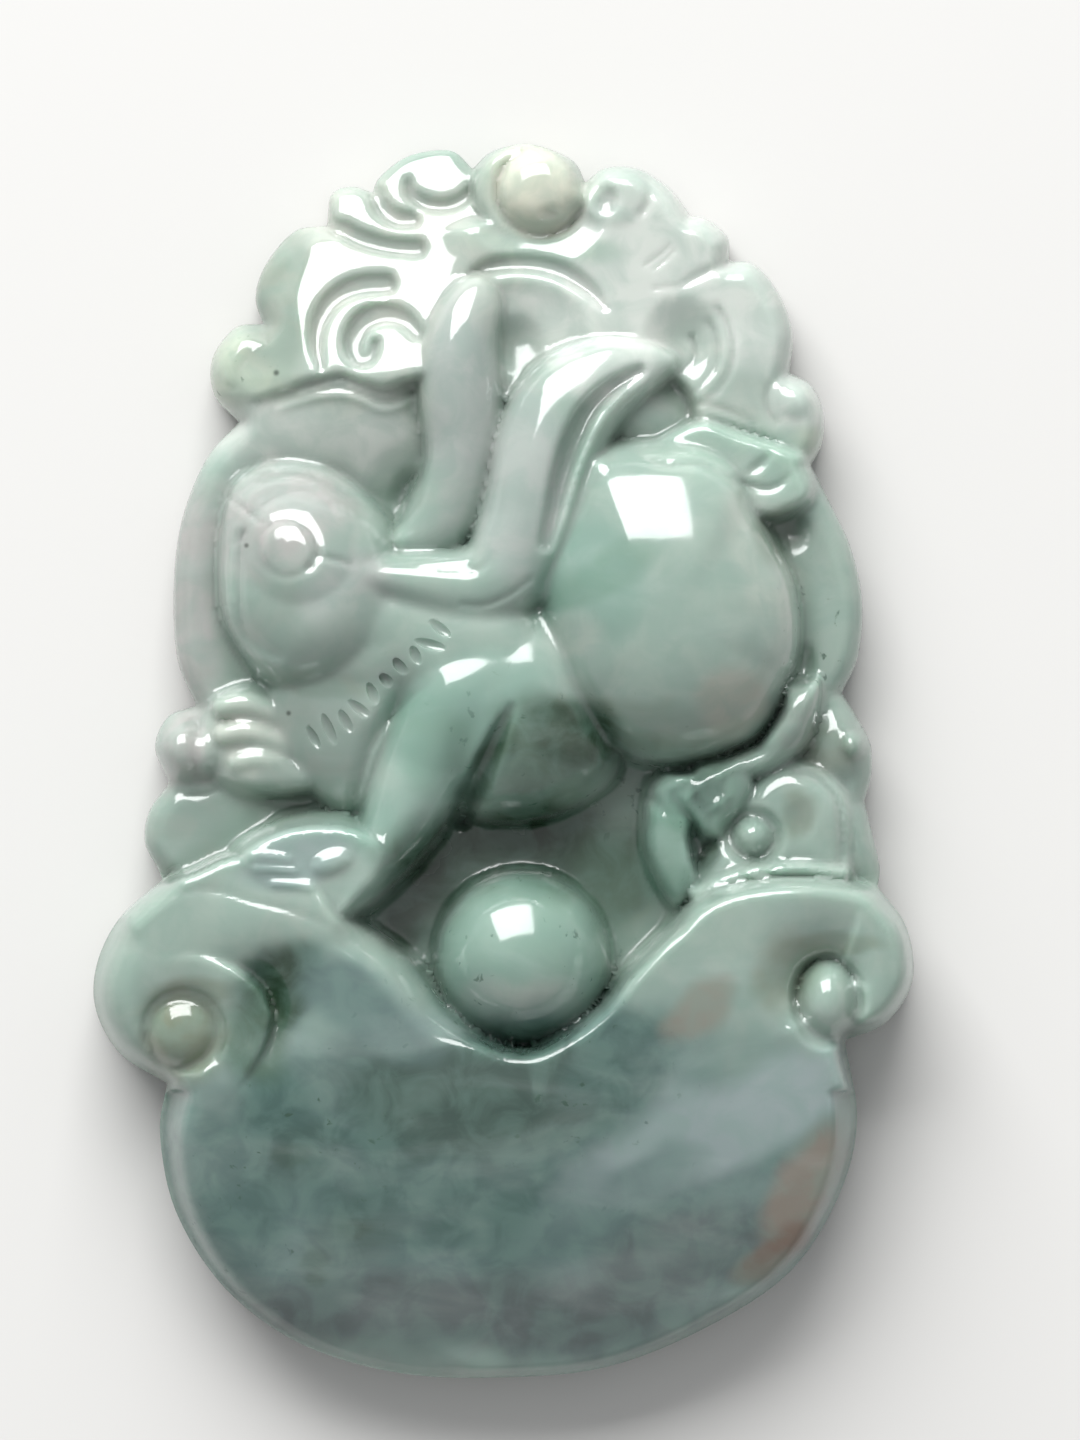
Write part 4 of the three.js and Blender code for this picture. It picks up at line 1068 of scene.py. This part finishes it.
PATCHES = [  # hue, place, half width, half height; then strength, else 1, and turn, else 0
    ("mist", -6.5, 22.9, 7.3, 6.3), ("white", 9.1, 23.4, 6.8, 6.3), ("lichen", -12.7, 19, 2.4, 2.7),
    ("willow", -10.9, 22.4, 1.7, 3.7, 1, -8), ("cream", 1.8, 27.8, 2.4, 2.2),
    ("haze", 1.8, 25, 4.1, 0.8, 0.9), ("white", 2.8, 21.5, 2.9, 2.2, 0.9),
    ("lead", 0.6, 20.2, 1.4, 1.5, 0.5), ("dew", -6.5, 19, 2.9, 1.7, 0.7),
    ("dew", 11.5, 17.1, 3.4, 1.7, 0.9, -15), ("white", 14.2, 17.6, 1.6, 1.6, 0.9),
    ("lichen", 15.2, 15.6, 1.1, 1.1, 0.7), ("dew", 9.6, 20.2, 1.5, 2.2, 0.7),
    ("lead", 6.9, 16.4, 2.2, 1.5, 0.3, 35), ("white", -10.4, 15.8, 4.6, 1.7, 0.8),
    ("white", -5.9, 15, 1.9, 2.2, 0.9), ("lavender", -6.8, 7.9, 1.8, 1.6, 0.6),
    ("lavender", -15.3, 7.8, 1.5, 5.8), ("lead", -14.1, 4.4, 1.2, 1.9, 0.4),
    ("lavender", -10.4, 11.7, 3.7, 2.9), ("lead", -9.9, 6.1, 3.7, 2.4, 0.45),
    # Painted shade: the dark olive patches below the head, low on the haunch, in the lower-left recess, in
    # the dip of the small cloud and in the pocket beside the haunch.
    ("lilac", -7.2, 7.8, 2.2, 1.9, 0.8), ("shade olive", -9.2, 3.8, 2.4, 0.6, 0.3),
    ("sage", -4.1, 6.4, 3.9, 1.7, 0.8), ("lilac", -2.2, 17.1, 1.9, 5.4), ("lead", -3.1, 12, 2.4, 2.2, 0.5),
    ("lilac", 0.8, 13.7, 1.9, 5.4, 0.9), ("white", 5.9, 19.4, 2.9, 1.2, 0.8, 20),
    ("sage", -1.1, 8.2, 2.9, 1.1, 0.8), ("mint", 11.5, 14.2, 3.9, 2.2, 1, -12), ("sage", 8.6, 7.8, 6.3, 6.8),
    ("jade", 4.2, 8.8, 2.4, 2.9, 0.8), ("dew", 12.8, 9.8, 1.6, 4.4, 0.8, 15),
    ("emerald", 4.7, 9.2, 2.9, 1, 0.5, 35), ("dew", 3.5, 6.1, 1.1, 1.4, 0.5),
    ("shade olive", 7.1, 1.2, 4.6, 1.3, 0.4, -10), ("lead", 11.5, 2.2, 2.2, 1.7, 0.2),
    ("rose", 11.3, 2.7, 2.2, 1.8, 0.8), ("jade", -0.7, 3.9, 3.2, 1.9, 0.8),
    # Painted shade: the darkest green patches under the haunch, in the gap beside the foreleg, in the deep
    # ground round the pearl and between the hind paw and its sole. In the pit of the left scroll the dark
    # green is partly the stone's own and partly painted shade.
    # Painted shade: the moss green patches low on the belly, in the deep ground below it and right of the
    # pearl, and below the pit of the left scroll.
    ("moss and shade", 1.3, 0.8, 3.7, 2.2, 0.9), ("forest and shade", 3.3, 1.1, 2.6, 1.7, 0.95, -25),
    ("moss and shade", 0.8, -1.4, 3.4, 1, 0.7), ("forest and shade", 3.4, 0.6, 1.6, 1.2, 0.7),
    ("jade", -3.1, 0.8, 2.9, 3.4, 0.9, 25), ("jade", -5.3, -3.9, 2.4, 2.7, 0.7, 30),
    ("emerald", -3.6, 0.8, 2, 3, 0.3, 25), ("emerald", -2.2, 0.8, 0.9, 1.8, 0.3, -20),
    ("forest and shade", -0.8, -0.5, 0.9, 2.4, 0.8, -25), ("lead", -8.9, 0.5, 2.7, 2.9, 0.8),
    ("lavender", -15.9, 0.5, 1.5, 1.9), ("mist", -12.6, 1, 1.9, 2.2, 0.9),
    ("lead", -10.4, -0.8, 2.2, 0.9, 0.8), ("lead", -15.8, -3.4, 2, 2.9, 0.8),
    ("shade olive", -10.4, -2.2, 2.8, 1, 0.15, -12), ("forest and shade", -3.1, -5.8, 2.9, 2.9),
    ("forest and shade", 2.3, -4.4, 4.4, 2.4), ("forest and shade", -5.1, -7.7, 1.4, 1.7, 0.8),
    # Painted light: the pale mist patch on the pearl lightens its lower half, which the window from above
    # leaves in shade.
    ("moss and shade", 5.7, -5.3, 2.2, 3.2, 0.9), ("pearl", 0.8, -9.5, 4.4, 4.4), ("mist", 0.9, -12.2, 3.2, 1.7, 0.7),
    ("ice", -9.9, -4.7, 3, 1.4, 1, 8), ("sage", -7.5, -6.4, 1.5, 1.5, 0.6), ("jade", 8, -3.9, 1.5, 3.2),
    ("emerald", 7.6, -4, 1.2, 2.4, 0.6), ("emerald", 10.1, -1.9, 2, 1.8, 0.55),
    ("deep", 9.6, -1.7, 0.8, 1, 0.5), ("forest and shade", 9.9, -4.6, 0.5, 0.8, 0.9),
    ("lead", 14.4, 2.2, 1.1, 2.2, 0.9), ("sage", 14, -2.9, 2.9, 2.4), ("shade olive", 14.3, -2.6, 0.8, 1, 0.5),
    ("sage", 17, -3.4, 0.7, 2.7, 0.6), ("lead", 16.2, 0.8, 1.7, 2.2, 0.9), ("olive", 16, 0.6, 1.2, 1.4, 0.5),
    ("sage", 15.9, 7.8, 1.7, 5.4, 0.6), ("shade olive", 13.7, 11, 1, 1.7, 0.6, -30),
    ("lake", -0.2, -20.9, 19.5, 9.3), ("sage", -16.5, -10.2, 4.4, 4.1, 0.9),
    ("sage", -12.4, -8, 4.6, 1.6, 0.9, -10), ("olive", -15, -11.2, 1.8, 0.7, 0.7),
    ("lead", -9.9, -8.5, 2.9, 1.5, 0.5, -25), ("teal", -10.4, -16.4, 3, 2.3),
    ("deep", -10.7, -11.2, 2.2, 2.1), ("forest and shade", -10.7, -11.1, 1.8, 1.7),
    ("moss and shade", -11.8, -13.7, 1.8, 1.7, 0.8), ("olive", -15.5, -13, 2, 2.2), ("teal", -1.6, -19, 9.3, 5.4),
    ("deep", -0.5, -16.2, 7, 3, 0.75), ("lake", -6.5, -12.1, 3.9, 1.6, 0.9, -35),
    ("teal", 5.7, -14.6, 2.9, 2.2, 0.8, 35), ("teal", -13.1, -20.9, 2.4, 4.4, 0.7, 20),
    ("deep", -7.7, -23.4, 2.4, 1.7, 0.4, 30), ("deep", -10.4, -19, 2.2, 1.5, 0.3),
    ("slate", -1.6, -27, 11.2, 2.2, 0.9), ("sage", 12.5, -7.8, 6.1, 1.8, 1, 8),
    ("sage", 17.4, -9.7, 2.4, 3.9, 0.9), ("olive", 13.8, -10.3, 1.3, 1.8, 0.7),
    ("olive", 15.9, -9, 2, 0.5, 0.6), ("dew", 15.7, -12.2, 1.5, 1.9, 0.15),
    ("sage", 17.8, -12.3, 1.2, 1.4, 0.6), ("bronze", 9.6, -12.3, 2.2, 1.1, 0.65, 42),
    ("sky", 9.6, -18, 7.3, 1.9, 0.85, 27), ("sky", 13, -16.3, 2.9, 1.9, 0.9, 20),
    ("lake", 7.1, -20.3, 2.8, 1.2, 0.7, 27), ("lake", 4.2, -21.7, 3.4, 1.6, 0.6, 30),
    ("slate", 8.6, -24.1, 4.9, 2.4, 0.8, 20), ("bronze", 14.6, -20.7, 1.6, 3, 0.8, -25),
    # The small dark green patches at the foot of the base are smudges in the stone.
    ("umber", 13.2, -24, 2.4, 1, 0.9, 40), ("forest and shade", -8.9, -24, 0.8, 0.6, 0.5, 20),
    ("forest and shade", -8.6, -25.2, 0.6, 0.5, 0.5), ("forest and shade", -10.8, -18.9, 0.9, 0.5, 0.35, -20),
    ("forest and shade", -6.8, -22.4, 0.8, 0.5, 0.35, 10),
]


def linear(hue):
    """A hue given as on a screen, as amounts of light."""
    return np.array([((c / 255 + 0.055) / 1.055) ** 2.4 for c in hue])


LIGHT_GAIN = 1.3    # how much brighter than its own colour a face looks under the lights


def stone_colour(x, y):
    """The colour at each place of the face, from the patches laid one over another."""
    bend_x, bend_y = slow_noise(x, y, 5, 11), slow_noise(x, y, 5, 12)
    fray = slow_noise(x, y, 2.4, 13)
    colour = np.tile(linear(HUES["sage"]), (len(x), 1))
    for name, px, py, rx, ry, *more in PATCHES:
        strength, turn = more + [1, 0][len(more):]
        c, s = math.cos(math.radians(turn)), math.sin(math.radians(turn))
        u, v = x + 0.9 * bend_x - px, y + 0.9 * bend_y - py
        far = np.hypot((u * c + v * s) / rx, (v * c - u * s) / ry) + 0.14 * fray
        cover = (strength * smooth((1.35 - far) / 0.75))[:, None]
        colour += cover * (linear(HUES[name]) - colour)
    return colour / LIGHT_GAIN

# %% Paint the points
def blurred(radius):
    """The heights of the sheet after a wide blur."""
    kept, stone.z = stone.z, stone.z.copy()
    stone.polish(radius)
    result, stone.z = stone.z, kept
    return result


# Painted shade: the depth of each point below a wide blur of the face is largest in recesses and creases, and
# the jade is darkened by it there.
recess_shade_map = blurred(1.2) - stone.z
spots = np.array([v.co[:] for v in pendant.data.vertices]) / MM
colours = stone_colour(spots[:, 0], spots[:, 1])
tint = pendant.data.attributes.new("tint", "FLOAT_COLOR", "POINT")
tint.data.foreach_set("color", np.hstack([colours, np.ones((len(colours), 1))]).ravel())
recess_shade = pendant.data.attributes.new("recess_shade", "FLOAT", "POINT")
on_face = spots[:, 2] > read(stone.z, spots[:, 0], spots[:, 1]) - 0.3
recess_shade_depth = np.clip(read(recess_shade_map, spots[:, 0], spots[:, 1]), 0, 1.2)
recess_shade.data.foreach_set("value", np.where(on_face, recess_shade_depth, 0))
speckle = pendant.data.attributes.new("speckle", "FLOAT", "POINT")
SPECKLED = [            # places with green flecks, and how far they spread
    (0.9, -9.6, 4.6), (1.5, 0.4, 4), (9, -2, 3), (-11.6, -22, 4), (-9, -17, 4), (15.6, 6, 3), (-14, 19, 2),
    (4, -17, 4)]
near = sum(np.exp(-((spots[:, 0] - x) ** 2 + (spots[:, 1] - y) ** 2) / r**2) for x, y, r in SPECKLED)
speckle.data.foreach_set("value", np.clip(near, 0, 1))
print("painted", len(spots), "points with", len(PATCHES), "patches")

# %% [markdown]
# ## The finish
# Polished jade is glassy on top and milky inside. Light enters, scatters a millimetre or two and
# comes out softened, which is what subsurface scattering does. On that go fine things too small for
# the painted points: pale floss, dark flecks, and hairline scratches in the polish. Recesses and
# creases also get painted shade, and shine a little less.

# %% Finishes
class Finish(Nodes):
    """The nodes of a material."""

    def __init__(self, material):
        self.material = material
        material.use_nodes = True
        super().__init__(material.node_tree)

    def mix(self, share, first, second, blend="MIX"):
        """Two colours mixed; sockets 6 and 7 are the colours of a Mix node."""
        return self.node(
            "ShaderNodeMix", {"data_type": "RGBA", "blend_type": blend}, {0: share, 6: first, 7: second}, 2)

    def noise(self, where, scale, detail=2.0, distortion=0.0):
        return self.node("ShaderNodeTexNoise", None, {
            "Vector": where, "Scale": scale, "Detail": detail, "Distortion": distortion})

    def principled(self, values):
        for key, value in values.items():
            self.put(self.tree.nodes["Principled BSDF"].inputs[key], value)

# %% Jade
MOTTLE_SIZE = 520       # patterns per metre
FLOSS_SIZE = 260        # floss is a few millimetres wide
FLECK_SIZE = 1500       # flecks are under a millimetre
HAIR_SIZE = 900
RUB_SIZE = 400          # rubbed places, which shine less
MOTTLE_TONE = (0.16, 0.26, 0.22, 1)
FLOSS_TONE = (0.5, 0.56, 0.53, 1)
# Painted shade: the darker green that recesses and creases are multiplied with.
RECESS_SHADE_TONE = (0.5, 0.6, 0.53, 1)
FLECK_TONE = (0.02, 0.06, 0.035, 1)
DOT_TONE = (0.02, 0.03, 0.02, 1)
DOTS = [                # dark natural specks: place and radius in millimetres
    (-12.4, 10.4, 0.12), (-10.4, 2.3, 0.12), (-11, 18.8, 0.14),
]

jade = Finish(stone_material)
place = jade.node("ShaderNodeTexCoord", output="Object")
tint = jade.node("ShaderNodeAttribute", {"attribute_name": "tint"})
recess_shade = jade.node("ShaderNodeAttribute", {"attribute_name": "recess_shade"}, output="Fac")
speckle = jade.node("ShaderNodeAttribute", {"attribute_name": "speckle"}, output="Fac")

mottle = jade.noise(place, MOTTLE_SIZE, 4, 0.6).clear_of(0.35, 0.65)
drawn_out = jade.node("ShaderNodeMapping", None, {
    "Vector": place, "Rotation": (0, 0, math.radians(-28)), "Scale": (0.5, 1.2, 1)})
floss = jade.noise(drawn_out, FLOSS_SIZE, 6, 0.5).clear_of(0.42, 0.78)
body = jade.mix(0.3 * mottle, tint, MOTTLE_TONE)
body = jade.mix(0.16 * floss, body, FLOSS_TONE)
# Painted shade: recesses and creases are multiplied towards a darker green, and made a little less glossy.
shaded_recesses = recess_shade.clear_of(0.1, 1.1)
body = jade.mix(0.5 * shaded_recesses, body, RECESS_SHADE_TONE, "MULTIPLY")
flecks = jade.noise(place, FLECK_SIZE, 3, 0.4).clear_of(0.66, 0.74)
body = jade.mix(0.75 * flecks * speckle, body, FLECK_TONE)
flat_place = jade.node("ShaderNodeVectorMath", {"operation": "MULTIPLY"}, {0: place, 1: (1, 1, 0)})
for x, y, radius in DOTS:
    spot = (x * MM, y * MM, 0)
    gap = jade.node("ShaderNodeVectorMath", {"operation": "DISTANCE"}, {0: flat_place, 1: spot}, "Value")
    dot = 1 - gap.clear_of(0.2 * radius * MM, 1.6 * radius * MM)
    body = jade.mix(0.75 * dot, body, DOT_TONE)

rub = jade.noise(place, RUB_SIZE, 3).clear_of(0.3, 0.75)
gloss = 0.1 + 0.07 * rub + 0.12 * shaded_recesses
waves = jade.noise(place, HAIR_SIZE, 4, 0.3)
ripple = jade.node("ShaderNodeBump", None, {"Strength": 0.25, "Distance": 0.00004, "Height": waves})
jade.principled({
    "Base Color": body, "Roughness": gloss, "Normal": ripple, "IOR": 1.62, "Subsurface Weight": 0.85,
    "Subsurface Radius": (1.0, 1.25, 1.1), "Subsurface Scale": 0.0011, "Coat Weight": 0.25,
    "Coat Roughness": 0.04})
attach(pendant, "root")
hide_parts(PART)
print("the jade has", len(jade.tree.nodes), "nodes")

# %% [markdown]
# ## Floor, light and camera
# The pendant lies flat and is seen from straight above. One big soft window beyond its top edge gives
# the square white highlights on the haunch and the pearl, and a bright room fills the shadows.

# %% Floor
bpy.ops.mesh.primitive_plane_add(size=4, location=(0, 0, -0.0002))
floor = bpy.context.object
floor.name = "floor"
plain = Finish(bpy.data.materials.new("pale floor"))
plain.principled({"Base Color": (0.56, 0.555, 0.54, 1), "Roughness": 0.6})
floor.data.materials.append(plain.material)

# %% Lights
ROOM = 0.55             # strength of the even light from all around
WINDOW_AZIMUTH = -13    # degrees from the top edge, to the right
WINDOW_ELEVATION = 36
WINDOW_DISTANCE = 1.0   # metres, as its width and height are
WINDOW_SIZE = (0.88, 0.84)
WINDOW_RADIANCE = 9.5

world = bpy.data.worlds.new("room")
bpy.context.scene.world = world
world.use_nodes = True
background = world.node_tree.nodes["Background"].inputs
background["Color"].default_value = (0.97, 0.98, 1, 1)
background["Strength"].default_value = ROOM
window = bpy.data.lights.new("window", "AREA")
window.shape = "RECTANGLE"
window.size, window.size_y = WINDOW_SIZE
window.energy = WINDOW_RADIANCE * math.pi * window.size * window.size_y
lamp = placed("window", window)
a, e = math.radians(WINDOW_AZIMUTH), math.radians(WINDOW_ELEVATION)
lamp.location = WINDOW_DISTANCE * Vector((math.sin(a) * math.cos(e), math.cos(a) * math.cos(e), math.sin(e)))
lamp.rotation_euler = (-lamp.location).to_track_quat("-Z", "Y").to_euler()
print("one window and a bright room light the pendant")

# %% Camera
bpy.context.scene.view_settings.view_transform = "Standard"
VIEW_HEIGHT = 70.2      # millimetres that the height of the picture covers
DISTANCE = 500
AIM = (1.78, 1.97)
lens = bpy.data.cameras.new("camera")
lens.sensor_width = 36
lens.lens = lens.sensor_width * (DISTANCE - 3) / VIEW_HEIGHT
camera = placed("camera", lens)
camera.location = (AIM[0] * MM, AIM[1] * MM, DISTANCE * MM)
bpy.context.scene.camera = camera
print("the lens is", round(lens.lens), "mm long")
